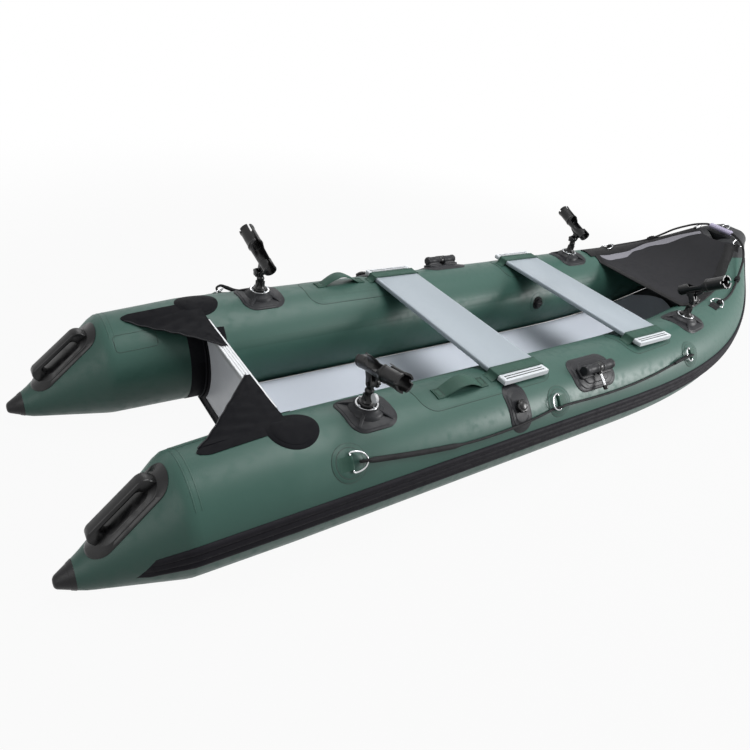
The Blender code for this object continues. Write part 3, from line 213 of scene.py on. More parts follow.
class Shape:
    """Shells gathered point by point before they become one mesh object."""

    def __init__(self) -> None:
        """Start with no points and no faces."""
        self.points: list[Vector] = []
        self.faces: list[tuple[int, ...]] = []

    def ring(self, points: Iterable[Vector]) -> list[int]:
        """Add points and return their numbers."""
        start = len(self.points)
        self.points += [Vector(point) for point in points]
        return list(range(start, len(self.points)))

    def bridge(self, near: list[int], far: list[int]) -> None:
        """Join two rings of as many points with quads."""
        count = len(near)
        for index in range(count):
            after = (index + 1) % count
            self.faces.append((near[index], near[after], far[after], far[index]))

    def loft(
        self,
        sections: Sequence[Iterable[Vector]],
        place: Matrix | None = None,
        caps: bool = True,
        endless: bool = False,
    ) -> "Shape":
        """Skin closed sections that have as many points each.

        Args:
            sections: the sections in order.
            place: transform of every point.
            caps: whether the two ends are filled.
            endless: whether the last section joins the first.

        Returns:
            The shape itself.
        """
        place = place or Matrix.Identity(4)
        rings = [self.ring(place @ Vector(point) for point in section) for section in sections]
        for near, far in zip(rings, rings[1:]):
            self.bridge(near, far)
        if endless:
            self.bridge(rings[-1], rings[0])
        elif caps:
            self.faces.append(tuple(reversed(rings[0])))
            self.faces.append(tuple(rings[-1]))
        return self

    def grid(self, rows: Sequence[Sequence[Vector]], thickness: float) -> "Shape":
        """Close a sheet between rows of points and the same rows pushed along their normals.

        Args:
            rows: rows with as many points each, one face of the sheet.
            thickness: distance to the other face, along the rows' left-handed normal.

        Returns:
            The shape itself.
        """
        tall, wide = len(rows), len(rows[0])
        other = []
        for i in range(tall):
            line = []
            for j in range(wide):
                along = rows[i][min(j + 1, wide - 1)] - rows[i][max(j - 1, 0)]
                down = rows[min(i + 1, tall - 1)][j] - rows[max(i - 1, 0)][j]
                line.append(rows[i][j] + along.cross(down).normalized() * thickness)
            other.append(line)
        first = [self.ring(row) for row in rows]
        second = [self.ring(row) for row in other]
        for i in range(tall - 1):
            for j in range(wide - 1):
                self.faces.append((first[i][j], first[i][j + 1], first[i + 1][j + 1], first[i + 1][j]))
                self.faces.append((second[i][j], second[i + 1][j], second[i + 1][j + 1], second[i][j + 1]))
        rim = [(i, 0) for i in range(tall)] + [(tall - 1, j) for j in range(1, wide)]
        rim += [(i, wide - 1) for i in range(tall - 2, -1, -1)] + [(0, j) for j in range(wide - 2, 0, -1)]
        for (i, j), (k, m) in zip(rim, [*rim[1:], rim[0]]):
            self.faces.append((first[i][j], first[k][m], second[k][m], second[i][j]))
        return self

    def prism(
        self, outline: Sequence[Pair], low: float, high: float, place: Matrix, edge: float = 0.0
    ) -> "Shape":
        """Extrude an outline from one height to another, with eased edges.

        Args:
            outline: points anticlockwise in the XY plane.
            low, high: heights of the two ends.
            place: transform of every point.
            edge: radius that its top and bottom edges are eased by.

        Returns:
            The shape itself.
        """
        if edge <= 0.0:
            steps = [(0.0, low), (0.0, high)]
        else:
            steps = [(edge, low), (0.3 * edge, low + 0.3 * edge), (0.0, low + edge)]
            steps += [(0.0, high - edge), (0.3 * edge, high - 0.3 * edge), (edge, high)]
        sections = [[Vector((x, y, z)) for x, y in inset(outline, amount)] for amount, z in steps]
        return self.loft(sections, place)

    @staticmethod
    def _spun(profile: Sequence[Pair], steps: int) -> list[list[Vector]]:
        """A ring of points round Z for each (radius, height) pair of a profile."""
        turns = [2 * math.pi * step / steps for step in range(steps)]
        return [
            [Vector((radius * math.cos(turn), radius * math.sin(turn), z)) for turn in turns]
            for radius, z in profile
        ]

    def lathe(self, profile: Sequence[Pair], place: Matrix, steps: int = 32) -> "Shape":
        """Turn a profile of (radius, height) pairs about Z, with its ends filled."""
        return self.loft(self._spun(profile, steps), place)

    def torus(self, profile: Sequence[Pair], place: Matrix, steps: int = 40) -> "Shape":
        """Turn a closed profile of (radius, height) pairs about Z into a ring."""
        return self.loft(list(zip(*self._spun(profile, steps))), place, endless=True)

    def pipe(
        self,
        path: Sequence[Vector],
        radius: float | Callable[[float, float], float],
        sides: int = 12,
        endless: bool = False,
        first_up: Vector = UP,
    ) -> "Shape":
        """Sweep a round section along points, with frames that don't twist.

        Args:
            path: points of the middle line.
            radius: one radius, or a radius for a distance along and a turn round the line.
            sides: points round the section.
            endless: whether the line closes on itself.
            first_up: direction that the first section's top faces.

        Returns:
            The shape itself.
        """
        count = len(path)
        sections = []
        normal = Vector(first_up)
        distance = 0.0
        for index in range(count):
            if index:
                distance += (path[index] - path[index - 1]).length
            if endless:
                along = path[(index + 1) % count] - path[index - 1]
            else:
                along = path[min(index + 1, count - 1)] - path[max(index - 1, 0)]
            along.normalize()
            normal = (normal - along * normal.dot(along)).normalized()
            across = along.cross(normal)
            section = []
            for side in range(sides):
                turn = 2 * math.pi * side / sides
                reach = radius(distance, turn) if callable(radius) else radius
                offset = across * math.cos(turn) + normal * math.sin(turn)
                section.append(path[index] + offset * reach)
            sections.append(section)
        return self.loft(sections, endless=endless)

    def build(self, name: str, material: bpy.types.Material, sharp: float = SHARP) -> bpy.types.Object:
        """Make the mesh object.

        Args:
            name: the object's name.
            material: its only material.
            sharp: angle in degrees over which an edge isn't shaded smooth.

        Returns:
            The new object, linked to the scene.
        """
        mesh = bpy.data.meshes.new(name)
        mesh.from_pydata([tuple(point) for point in self.points], [], self.faces)
        work = bmesh.new()
        work.from_mesh(mesh)
        bmesh.ops.remove_doubles(work, verts=work.verts, dist=MERGE_DISTANCE)
        bmesh.ops.recalc_face_normals(work, faces=work.faces)
        work.to_mesh(mesh)
        work.free()
        mesh.validate()
        mesh.shade_smooth()
        mesh.set_sharp_from_angle(angle=math.radians(sharp))
        mesh.materials.append(material)
        item = bpy.data.objects.new(name, mesh)
        bpy.context.scene.collection.objects.link(item)
        return item


def curve_through(knots: Sequence[Vector], spacing: float) -> list[Vector]:
    """Evenly spaced points on a smooth curve through knots.

    Args:
        knots: points that the curve passes.
        spacing: rough distance between the points that come back.

    Returns:
        Points from the first knot to the last.
    """
    dense = []
    for index in range(len(knots) - 1):
        before = knots[index - 1] if index else knots[0] * 2 - knots[1]
        start, end = knots[index], knots[index + 1]
        after = knots[index + 2] if index + 2 < len(knots) else end * 2 - start
        chords = [max((b - a).length, 1e-6) ** 0.5 for a, b in ((before, start), (start, end), (end, after))]
        t0, t1 = 0.0, chords[0]
        t2, t3 = t1 + chords[1], t1 + chords[1] + chords[2]
        for step in range(SUBSTEPS):
            t = t1 + (t2 - t1) * step / SUBSTEPS
            a1 = before * ((t1 - t) / (t1 - t0)) + start * ((t - t0) / (t1 - t0))
            a2 = start * ((t2 - t) / (t2 - t1)) + end * ((t - t1) / (t2 - t1))
            a3 = end * ((t3 - t) / (t3 - t2)) + after * ((t - t2) / (t3 - t2))
            b1 = a1 * ((t2 - t) / (t2 - t0)) + a2 * ((t - t0) / (t2 - t0))
            b2 = a2 * ((t3 - t) / (t3 - t1)) + a3 * ((t - t1) / (t3 - t1))
            dense.append(b1 * ((t2 - t) / (t2 - t1)) + b2 * ((t - t1) / (t2 - t1)))
    dense.append(knots[-1].copy())
    total = path_length(dense)
    count = max(2, round(total / spacing))
    points, walked, index = [dense[0].copy()], 0.0, 0
    for step in range(1, count):
        target = total * step / count
        while walked + (dense[index + 1] - dense[index]).length < target:
            walked += (dense[index + 1] - dense[index]).length
            index += 1
        edge = dense[index + 1] - dense[index]
        points.append(dense[index] + edge * ((target - walked) / edge.length))
    points.append(dense[-1].copy())
    return points


def path_length(points: Sequence[Vector]) -> float:
    """Length of a line through points."""
    return sum((b - a).length for a, b in zip(points, points[1:]))


def eased_edges(item: bpy.types.Object, width: float) -> None:
    """Round an object's hard edges with a Bevel modifier, so that they catch the light."""
    bevel = item.modifiers.new("edges", "BEVEL")
    bevel.width = width
    bevel.segments = 2
    bevel.limit_method = "ANGLE"
    bevel.angle_limit = math.radians(SHARP)
    bevel.harden_normals = False


# The tubes' form


class TubeForm:
    """Middle line, radius and skin of an air tube, with tables that make look-ups quick."""

    LENGTH = 3.98
    RADIUS = 0.206
    OFFSET = 0.424
    STRAIGHT_START = 0.66
    KNEE = 0.075
    KNEE_RADIUS = 0.056
    KNEE_HEIGHT = 0.078
    KNEE_EASE = 0.016
    SHOULDER = 0.336
    SHOULDER_RADIUS = 0.1925
    SHOULDER_EASE = 0.014
    TIP_RADIUS = 0.0165
    TIP_HEIGHT = 0.067
    SWEEP_START = 2.30
    SWEEP_REACH = 1.60
    HORN = Vector((0.039, 1.960, 0.656))
    HORN_DOME = 0.030
    HORN_RADIUS = 0.064
    HORN_LEAD = 0.369
    HORN_TOE_IN = 9.3
    HORN_RISE = 18.1
    TAPER_START = 2.45
    TAPER_POWER = 3.1
    CAP_SEAM = 0.055
    NOSE_SEAM = 3.845
    STEP = 0.004
    SWEEP_STEPS = 1500
    TILT_START = 0.64
    TILT_RUN = 0.14
    PROBE = 0.006

    def __init__(self) -> None:
        """Fill the tables of middle points, directions and radii."""
        toe_in, rise = math.radians(self.HORN_TOE_IN), math.radians(self.HORN_RISE)
        self.heading = Vector(
            (-math.sin(toe_in) * math.cos(rise), math.cos(toe_in) * math.cos(rise), math.sin(rise))
        )
        sweep = [self._sweep(step / self.SWEEP_STEPS) for step in range(self.SWEEP_STEPS + 1)]
        count = round((self.LENGTH - self.HORN_DOME) / self.STEP) + 1
        self.middles: list[Vector] = []
        self.radii: list[float] = []
        index = 0
        for number in range(count):
            station = number * self.STEP
            if station <= self.SWEEP_START:
                height = self._aft_height(station)
                self.middles.append(Vector((self.OFFSET, self.fore(station), height)))
            else:
                while index < self.SWEEP_STEPS - 1 and sweep[index + 1].y < self.fore(station):
                    index += 1
                near, far = sweep[index], sweep[index + 1]
                share = (self.fore(station) - near.y) / (far.y - near.y)
                self.middles.append(near + (far - near) * share)
            self.radii.append(self._radius(station))

    def fore(self, station: float) -> float:
        """World Y of a station."""
        return station - self.LENGTH / 2

    def _sweep(self, t: float) -> Vector:
        """Point on the bow sweep's Bezier curve."""
        first = Vector((self.OFFSET, self.fore(self.SWEEP_START), self.RADIUS))
        second = first + Vector((0, self.SWEEP_REACH, 0))
        third = self.HORN - self.heading * self.HORN_LEAD
        rest = 1.0 - t
        return first * rest**3 + second * 3 * rest**2 * t + third * 3 * rest * t**2 + self.HORN * t**3

    def _cone(self, station: float, tip: float, knee: float) -> float:
        """Value that runs straight from tip to knee, shoulder and straight stretch."""
        if station < self.KNEE:
            return tip + (knee - tip) * station / self.KNEE
        if station < self.SHOULDER:
            return knee + (self.SHOULDER_RADIUS - knee) * (station - self.KNEE) / (self.SHOULDER - self.KNEE)
        run = (station - self.SHOULDER) / (self.STRAIGHT_START - self.SHOULDER)
        return self.SHOULDER_RADIUS + (self.RADIUS - self.SHOULDER_RADIUS) * min(run, 1.0)

    def _eased(self, station: float, tip: float, knee: float) -> float:
        """The same value with the corners at the knee and the shoulder rounded off."""
        for middle, width in ((self.KNEE, self.KNEE_EASE), (self.SHOULDER, self.SHOULDER_EASE)):
            low, high = middle - width, middle + width
            if low < station < high:
                share = (station - low) / (high - low)
                start, end = self._cone(low, tip, knee), self._cone(high, tip, knee)
                corner = self._cone(middle, tip, knee)
                return start * (1 - share) ** 2 + corner * 2 * share * (1 - share) + end * share**2
        return self._cone(station, tip, knee)

    def _aft_height(self, station: float) -> float:
        """Height of the middle line aft of the sweep."""
        return self._eased(station, self.TIP_HEIGHT, self.KNEE_HEIGHT)

    def _radius(self, station: float) -> float:
        """Radius at a station."""
        if station < self.STRAIGHT_START:
            return self._eased(station, self.TIP_RADIUS, self.KNEE_RADIUS)
        run = (station - self.TAPER_START) / (self.LENGTH - self.HORN_DOME - self.TAPER_START)
        return self.RADIUS - (self.RADIUS - self.HORN_RADIUS) * max(0.0, run) ** self.TAPER_POWER

    def section(self, station: float) -> tuple[Vector, Vector, float]:
        """Section of the starboard tube.

        Args:
            station: distance forward of the stern tips.

        Returns:
            Its middle, the middle line's direction and its radius.
        """
        place = min(max(station / self.STEP, 0.0), len(self.radii) - 1.001)
        low = int(place)
        share = place - low
        middle = self.middles[low].lerp(self.middles[low + 1], share)
        ahead = min(low + 3, len(self.radii) - 1)
        direction = (self.middles[ahead] - self.middles[max(low - 2, 0)]).normalized()
        tilt = (station - self.TILT_START) / self.TILT_RUN
        if tilt < 1.0:
            direction = Vector((0.0, 1.0, 0.0)).lerp(direction, ease(tilt)).normalized()
        radius = self.radii[low] * (1 - share) + self.radii[low + 1] * share
        return middle, direction, radius

    def axes(self, direction: Vector) -> tuple[Vector, Vector]:
        """Outboard and upward directions square to the starboard tube's middle line."""
        outboard = direction.cross(UP).normalized()
        return outboard, outboard.cross(direction)

    def point(self, side: Side, station: float, angle: float, height: float = 0.0) -> Vector:
        """Point over the skin.

        Args:
            side: the tube.
            station: distance forward of the stern tips.
            angle: degrees outboard of the crest.
            height: distance outwards from the skin.

        Returns:
            The point in world space.
        """
        middle, direction, radius = self.section(station)
        outboard, upward = self.axes(direction)
        turn = math.radians(angle)
        point = middle + (upward * math.cos(turn) + outboard * math.sin(turn)) * (radius + height)
        return flipped(point, side.value)

    def frame(self, side: Side, station: float, angle: float, height: float = 0.0) -> Matrix:
        """Right-handed frame on the skin: X along the tube to the bow, Z out of the skin."""
        along = self.point(side, station + self.PROBE, angle) - self.point(side, station - self.PROBE, angle)
        along.normalize()
        around = (
            self.point(side, station, angle + 1.0) - self.point(side, station, angle - 1.0)
        ).normalized()
        normal = (along.cross(around) if side is Side.PORT else around.cross(along)).normalized()
        frame = Matrix((along, normal.cross(along), normal)).transposed().to_4x4()
        frame.translation = self.point(side, station, angle) + normal * height
        return frame

    def nearest(self, side: Side, point: Vector) -> tuple[float, float, float]:
        """Find a point's place on a tube.

        Args:
            side: the tube.
            point: a point in world space near its skin.

        Returns:
            Its station, its angle in degrees and its height over the skin.
        """
        here = flipped(point, side.value)
        station = here.y + self.LENGTH / 2
        for _ in range(6):
            middle, direction, _ = self.section(station)
            station += (here - middle).dot(direction) * direction.y
        middle, direction, radius = self.section(station)
        outboard, upward = self.axes(direction)
        reach = here - middle
        angle = math.degrees(math.atan2(reach.dot(outboard), reach.dot(upward)))
        return station, angle, (reach - direction * reach.dot(direction)).length - radius

    def wrapped(self, side: Side, frame: Matrix, x: float, y: float, height: float) -> Vector:
        """Point of a flat pattern laid on the skin.

        Args:
            side: the tube.
            frame: frame on the skin at the pattern's middle.
            x, y: place in the pattern, in that frame.
            height: distance outwards from the skin.

        Returns:
            The point in world space.
        """
        _, _, radius = self.section(frame.translation.y + self.LENGTH / 2)
        turn = y / radius
        curled = frame @ Vector((x, radius * math.sin(turn), radius * (math.cos(turn) - 1.0)))
        station, angle, _ = self.nearest(side, curled)
        return self.point(side, station, angle, height)


FORM = TubeForm()


class Skinned(Shape):
    """A shape whose shells lie on the skin of a tube."""

    def plate(
        self,
        side: Side,
        frame: Matrix,
        outline: Sequence[Pair],
        steps: Sequence[Pair],
    ) -> "Skinned":
        """Lay a patch on the skin.

        Args:
            side: the tube.
            frame: frame on the skin at the patch's middle.
            outline: the patch's outline in that frame.
            steps: inset from the outline and height over the skin, from the edge to the middle.

        Returns:
            The shape itself.
        """
        reach = min(math.hypot(x, y) for x, y in outline)
        levels = [(0.0, -0.0015), *steps]
        last_inset, last_height = levels[-1]
        for share in (0.6, 0.3, 0.08):
            levels.append((last_inset + (reach - last_inset) * (1.0 - share), last_height))
        rings = []
        for amount, height in levels:
            scale = 1.0 - amount / reach
            ring = [FORM.wrapped(side, frame, x * scale, y * scale, height) for x, y in outline]
            rings.append(self.ring(ring))
        for near, far in zip(rings, rings[1:]):
            self.bridge(near, far)
        self.faces.append(tuple(rings[-1]))
        self.faces.append(tuple(reversed(rings[0])))
        return self

    def edging(
        self, side: Side, frame: Matrix, outline: Sequence[Pair], radius: float = 0.0010
    ) -> "Skinned":
        """Lay a thin bead of glue round a patch's outline."""
        self.pipe([FORM.wrapped(side, frame, x, y, 0.0004) for x, y in outline], radius, 6, endless=True)
        return self

    def band(
        self, side: Side, start: float, end: float, angles: Pair, height: float, steps: int = 72
    ) -> "Skinned":
        """Lay a tape round a tube, between two stations and two angles."""
        edge = min(0.0012, (end - start) / 4)
        levels = [(start, -0.001), (start, height * 0.6), (start + edge, height)]
        levels += [(end - edge, height), (end, height * 0.6), (end, -0.001)]
        turns = span(*angles, steps)
        rows = [[FORM.point(side, station, turn, lift) for station, lift in levels] for turn in turns]
        whole = abs(angles[1] - angles[0]) > 359.0
        return self.loft(rows[:-1] if whole else rows, caps=not whole, endless=whole)

    def tape(self, side: Side, knots: Sequence[Pair], width: float, height: float) -> "Skinned":
        """Lay a tape along a tube through (station, angle) knots."""
        stations = span(knots[0][0], knots[-1][0],
            max(2, round((knots[-1][0] - knots[0][0]) / TAPE_SPACING)))
        rows = []
        for station in stations:
            for (low, a), (high, b) in zip(knots, knots[1:]):
                if station <= high + 1e-9:
                    angle = a + (b - a) * ease((station - low) / (high - low))
                    break
            half = math.degrees(width / 2 / FORM.section(station)[2])
            profile = [(-half, -0.001), (-half, height * 0.6), (-0.9 * half, height)]
            profile += [(0.9 * half, height), (half, height * 0.6), (half, -0.001)]
            rows.append([FORM.point(side, station, angle + turn, lift) for turn, lift in profile])
        return self.loft(rows)


# Finishes


def wired(
    tree: bpy.types.NodeTree, kind: str, inputs: dict[str | int, object], **settings: object
) -> bpy.types.Node:
    """Add a shader node.

    Args:
        tree: the tree that it goes in.
        kind: its type, without the leading ShaderNode.
        inputs: a socket to link or a value to set, for each input's label or number.
        settings: the node's own attributes, set before its inputs.

    Returns:
        The new node.
    """
    node = tree.nodes.new(f"ShaderNode{kind}")
    for label, value in settings.items():
        setattr(node, label, value)
    for label, value in inputs.items():
        if isinstance(value, bpy.types.NodeSocket):
            tree.links.new(value, node.inputs[label])
        else:
            node.inputs[label].default_value = value
    return node


def computed(tree: bpy.types.NodeTree, operation: str, *terms: object) -> bpy.types.NodeSocket:
    """Result of a math node fed by sockets or numbers."""
    return wired(tree, "Math", dict(enumerate(terms)), operation=operation).outputs[0]


def clouds(
    tree: bpy.types.NodeTree, vector: bpy.types.NodeSocket, scale: object, detail: float
) -> bpy.types.NodeSocket:
    """Noise texture's factor."""
    return wired(tree, "TexNoise", {"Detail": detail, "Scale": scale, "Vector": vector}).outputs["Fac"]


class Effect(Enum):
    """Shader node groups that several materials share."""

    GRAIN = "fine_grain"
    WEAVE = "cloth_weave"
    MOTTLE = "slow_mottle"
    SCUFF = "worn_scuff"
    STREAK = "long_streak"


class GroupMaker:
    """Makes each shared node group once."""

    def __init__(self) -> None:
        """Build every group."""
        self.groups: dict[Effect, bpy.types.NodeTree] = {
            Effect.GRAIN: self._grain(),
            Effect.WEAVE: self._weave(),
            Effect.MOTTLE: self._mottle(),
            Effect.SCUFF: self._scuff(),
            Effect.STREAK: self._streak(),
        }

    @staticmethod
    def _tree(
        effect: Effect, inputs: dict[str, object], output: str = "Height"
    ) -> tuple[bpy.types.NodeTree, bpy.types.NodeInputs, bpy.types.NodeSocket]:
        """Empty group with named sockets, the first of them its vector.

        Args:
            effect: the effect that it is for.
            inputs: default value of each further input.
            output: name of its one output.

        Returns:
            The group, the sockets that its inputs arrive at and the socket that its output leaves by.
        """
        tree = bpy.data.node_groups.new(effect.value, "ShaderNodeTree")
        for label, value in {"Vector": (0, 0, 0), **inputs}.items():
            kind = "Float" if isinstance(value, float) else "Color" if len(value) == 4 else "Vector"
            socket = tree.interface.new_socket(label, in_out="INPUT", socket_type=f"NodeSocket{kind}")
            socket.default_value = value
        kind = "Color" if output == "Colour" else "Float"
        tree.interface.new_socket(output, in_out="OUTPUT", socket_type=f"NodeSocket{kind}")
        given = tree.nodes.new("NodeGroupInput").outputs
        return tree, given, tree.nodes.new("NodeGroupOutput").inputs[output]

    def _grain(self) -> bpy.types.NodeTree:
        """Moulded or coated grain: small cells over a softer noise."""
        tree, given, result = self._tree(Effect.GRAIN, {"Scale": 900.0})
        sockets = {"Vector": given["Vector"], "Scale": given["Scale"]}
        cells = wired(tree, "TexVoronoi", sockets, feature="SMOOTH_F1")
        soft = clouds(tree, given["Vector"], computed(tree, "MULTIPLY", given["Scale"], 0.35), 3.0)
        softer = computed(tree, "MULTIPLY", soft, 0.6)
        tree.links.new(computed(tree, "ADD", cells.outputs["Distance"], softer), result)
        return tree

    def _weave(self) -> bpy.types.NodeTree:
        """Plain weave: two crossing sets of threads seen through a thin coat."""
        tree, given, result = self._tree(Effect.WEAVE, {"Threads": 600.0})
        split = wired(tree, "SeparateXYZ", {0: given["Vector"]}).outputs
        waves = []
        for axis in "XY":
            slant = computed(tree, "ADD", split[axis], split["Z"])
            waves.append(computed(tree, "SINE", computed(tree, "MULTIPLY", slant, given["Threads"])))
        tree.links.new(computed(tree, "MULTIPLY", *waves), result)
        return tree

    def _mottle(self) -> bpy.types.NodeTree:
        """Slow change of tone over a large surface."""
        tones = {"Colour": (0.5, 0.5, 0.5, 1), "Other": (0.4, 0.4, 0.4, 1)}
        tree, given, result = self._tree(Effect.MOTTLE, {**tones, "Scale": 3.0, "Amount": 0.3}, "Colour")
        slow = clouds(tree, given["Vector"], given["Scale"], 2.0)
        share = computed(tree, "MULTIPLY", slow, given["Amount"])
        sockets = {"Factor": share, "A": given["Colour"], "B": given["Other"]}
        tree.links.new(wired(tree, "Mix", sockets, data_type="RGBA").outputs["Result"], result)
        return tree

    def _scuff(self) -> bpy.types.NodeTree:
        """Scattered rubbed spots that are duller."""
        values = {"Roughness": 0.4, "Scale": 30.0, "Amount": 0.2}
        tree, given, result = self._tree(Effect.SCUFF, values, "Roughness")
        spots = clouds(tree, given["Vector"], given["Scale"], 5.0)
        mask = computed(tree, "MAXIMUM", computed(tree, "SUBTRACT", spots, 0.48), 0.0)
        mask = computed(tree, "MULTIPLY", computed(tree, "MINIMUM", mask, 0.25), 4.0)
        change = computed(tree, "MULTIPLY", mask, given["Amount"])
        tree.links.new(computed(tree, "ADD", given["Roughness"], change), result)
        return tree

    def _streak(self) -> bpy.types.NodeTree:
        """Fine lines drawn out along one axis, as on extrusions and brushed metal."""
        tree, given, result = self._tree(Effect.STREAK, {"Stretch": (4, 900, 900)})
        sockets = {0: given["Vector"], 1: given["Stretch"]}
        drawn = wired(tree, "VectorMath", sockets, operation="MULTIPLY")
        tree.links.new(clouds(tree, drawn.outputs[0], 1.0, 4.0), result)
        return tree


@dataclass(frozen=True)
class Finish:
    """A surface finish: its colours, its gloss and the texture under it."""

    name: str
    slot: str
    colour: tuple[float, float, float]
    second: tuple[float, float, float]
    roughness: float
    metallic: float = 0.0
    coat: float = 0.0
    mottle_scale: float = 4.0
    mottle: float = 0.5
    scuff_scale: float = 30.0
    scuff: float = 0.15
    texture: Effect = Effect.GRAIN
    texture_scale: float = 900.0
    texture_height: float = 0.00008
    texture_strength: float = 0.35
    stretch: tuple[float, float, float] = (4.0, 900.0, 900.0)
    specular: float = 0.5

    def build(self, maker: GroupMaker) -> bpy.types.Material:
        """Make the material.

        Args:
            maker: holder of the shared node groups.

        Returns:
            The new material.
        """
        material = bpy.data.materials.new(self.name)
        material.use_nodes = True
        tree = material.node_tree
        shader = tree.nodes["Principled BSDF"].inputs
        shader["Metallic"].default_value = self.metallic
        shader["Coat Weight"].default_value = self.coat
        shader["Coat Roughness"].default_value = COAT_ROUGHNESS
        shader["Specular IOR Level"].default_value = self.specular
        place = tree.nodes.new("ShaderNodeTexCoord").outputs["Object"]

        def grouped(effect: Effect, **values: object) -> bpy.types.NodeSocket:
            """Put a shared group in the tree with its own values and return its output."""
            node = wired(tree, "Group", {"Vector": place, **values}, node_tree=maker.groups[effect])
            return node.outputs[0]

        tones = {"Colour": srgb(*self.colour), "Other": srgb(*self.second)}
        tone = grouped(Effect.MOTTLE, **tones, Scale=self.mottle_scale, Amount=self.mottle)
        worn = grouped(Effect.SCUFF, Roughness=self.roughness, Scale=self.scuff_scale, Amount=self.scuff)
        sizes = {
            Effect.GRAIN: {"Scale": self.texture_scale},
            Effect.WEAVE: {"Threads": self.texture_scale},
            Effect.STREAK: {"Stretch": self.stretch},
        }
        relief = grouped(self.texture, **sizes[self.texture])
        values = {"Strength": self.texture_strength, "Distance": self.texture_height, "Height": relief}
        bump = wired(tree, "Bump", values)
        for label, socket in (("Base Color", tone), ("Roughness", worn), ("Normal", bump.outputs["Normal"])):
            tree.links.new(socket, shader[label])
        return material


FINISHES = (
    Finish("coated_green", "tube_green", (47, 77, 69), (55, 85, 76), 0.42, coat=0.04, mottle_scale=1.6,
    mottle=0.7, specular=0.28),
    Finish("patch_green", "tube_green", (45, 74, 66), (52, 81, 72), 0.44, coat=0.03, mottle_scale=6.0,
    specular=0.28),
    Finish("strap_green", "tube_green", (40, 68, 58), (47, 76, 66), 0.55, specular=0.22,
    texture=Effect.WEAVE, texture_scale=2600.0,
           texture_height=0.0002),
    Finish("strake_black", "strake_rubber", (26, 25, 29), (34, 33, 37), 0.58, specular=0.08,
    texture=Effect.STREAK,
           stretch=(900.0, 3.0, 900.0), mottle_scale=9.0),
    Finish("nose_rubber", "strake_rubber", (35, 36, 38), (45, 46, 48), 0.48, specular=0.22,
    mottle_scale=8.0),
    Finish("moulded_black", "moulded_black", (10, 10, 11), (16, 16, 18), 0.28, coat=0.05, specular=0.30,
    scuff=0.2),
    Finish("cap_black", "moulded_black", (12, 12, 14), (18, 18, 20), 0.40, specular=0.25, scuff=0.2),
    Finish("pad_black", "pad_rubber", (25, 26, 29), (34, 35, 38), 0.44, specular=0.22,
    texture_height=0.00012),
    Finish("gusset_black", "gusset_fabric", (14, 14, 17), (21, 22, 25), 0.60, specular=0.05,
    texture=Effect.WEAVE,
           texture_scale=2200.0),
    Finish("cover_charcoal", "cover_fabric", (43, 43, 45), (53, 53, 55), 0.70, specular=0.04,
    texture=Effect.WEAVE,
           texture_scale=2400.0, texture_height=0.00015, mottle_scale=5.0),
    Finish("hem_black", "cover_fabric", (9, 9, 11), (16, 16, 18), 0.46, specular=0.16, texture=Effect.WEAVE,
           texture_scale=2000.0, texture_height=0.0002),
    # Painted highlight: paler, glossier colour for the band of cover that faces up the port tube and catches
    # the light.
    Finish("cover_painted_highlight", "cover_fabric", (112, 111, 118), (92, 91, 97), 0.50, mottle_scale=14.0),
    Finish("floor_grey", "bottom_grey", (64, 68, 70), (76, 80, 82), 0.50, texture=Effect.WEAVE,
    texture_scale=1800.0),
    Finish("deck_pale", "deck_grey", (192, 198, 208), (202, 208, 217), 0.55, texture=Effect.WEAVE,
           texture_scale=1500.0, texture_height=0.00025, mottle_scale=2.4),
    Finish("panel_pale", "transom_panel", (198, 201, 206), (210, 212, 216), 0.42, texture_scale=500.0,
    mottle_scale=5.0),
    Finish("bench_aluminium", "anodised_aluminium", (146, 155, 162), (154, 163, 169), 0.42, metallic=0.10,
           texture=Effect.STREAK, stretch=(3.0, 700.0, 700.0), texture_height=0.00006, mottle_scale=3.0,
           scuff=0.08),
    Finish("cap_aluminium", "anodised_aluminium", (196, 198, 200), (184, 187, 190), 0.34, metallic=0.35,
           texture=Effect.STREAK, stretch=(3.0, 700.0, 700.0), texture_height=0.00006, scuff=0.08),
    Finish("end_white", "anodised_aluminium", (198, 202, 205), (188, 192, 196), 0.35, mottle_scale=20.0),
    Finish("stainless", "stainless_steel", (206, 207, 209), (190, 191, 194), 0.16, metallic=1.0,
    texture_height=0.00003,
           scuff=0.10, scuff_scale=80.0),
    Finish("clamp_white", "moulded_black", (224, 225, 227), (204, 206, 209), 0.30, coat=0.2,
    mottle_scale=60.0),
    Finish("rope_black", "rope_black", (18, 18, 19), (34, 34, 36), 0.70, specular=0.20, mottle_scale=120.0,
    mottle=0.8,
           texture=Effect.WEAVE, texture_scale=5200.0, texture_height=0.0002),
    Finish("grip_lilac", "grip_grey", (160, 154, 178), (176, 171, 192), 0.50, mottle_scale=40.0,
           texture=Effect.WEAVE, texture_scale=3000.0),
    Finish("thread_dark", "tube_green", (34, 48, 43), (42, 58, 52), 0.7, texture_scale=3000.0),
)


class Palette:
    """The finishes, made into materials and given to pieces."""

    def __init__(self) -> None:
        """Build the shared groups and every material."""
        maker = GroupMaker()
        self.finishes = {finish.name: finish for finish in FINISHES}
        self.materials = {finish.name: finish.build(maker) for finish in FINISHES}

    def piece(
        self,
        shape: Shape,
        name: str,
        finish: str,
        body: str = "hull",
        replaces: Sequence[str] = (),
        sharp: float = SHARP,
        edge: float = 0.0,
    ) -> bpy.types.Object:
        """Turn a shape into a piece of the boat.

        Args:
            shape: its shells.
            name: the piece's name.
            finish: the name of its finish.
            body: the CAD body that it rides on.
            replaces: the CAD nodes that it stands for.
            sharp: angle over which an edge isn't shaded smooth.
            edge: width that a Bevel modifier eases its hard edges by.

        Returns:
            The object.
        """
        item = shape.build(name, self.materials[finish], sharp)
        if edge > 0.0:
            eased_edges(item, edge)
        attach(item, body)
        if replaces:
            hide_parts(*replaces)
        LOG.info("%s: %d faces on %s", name, len(item.data.polygons), body)
        return item


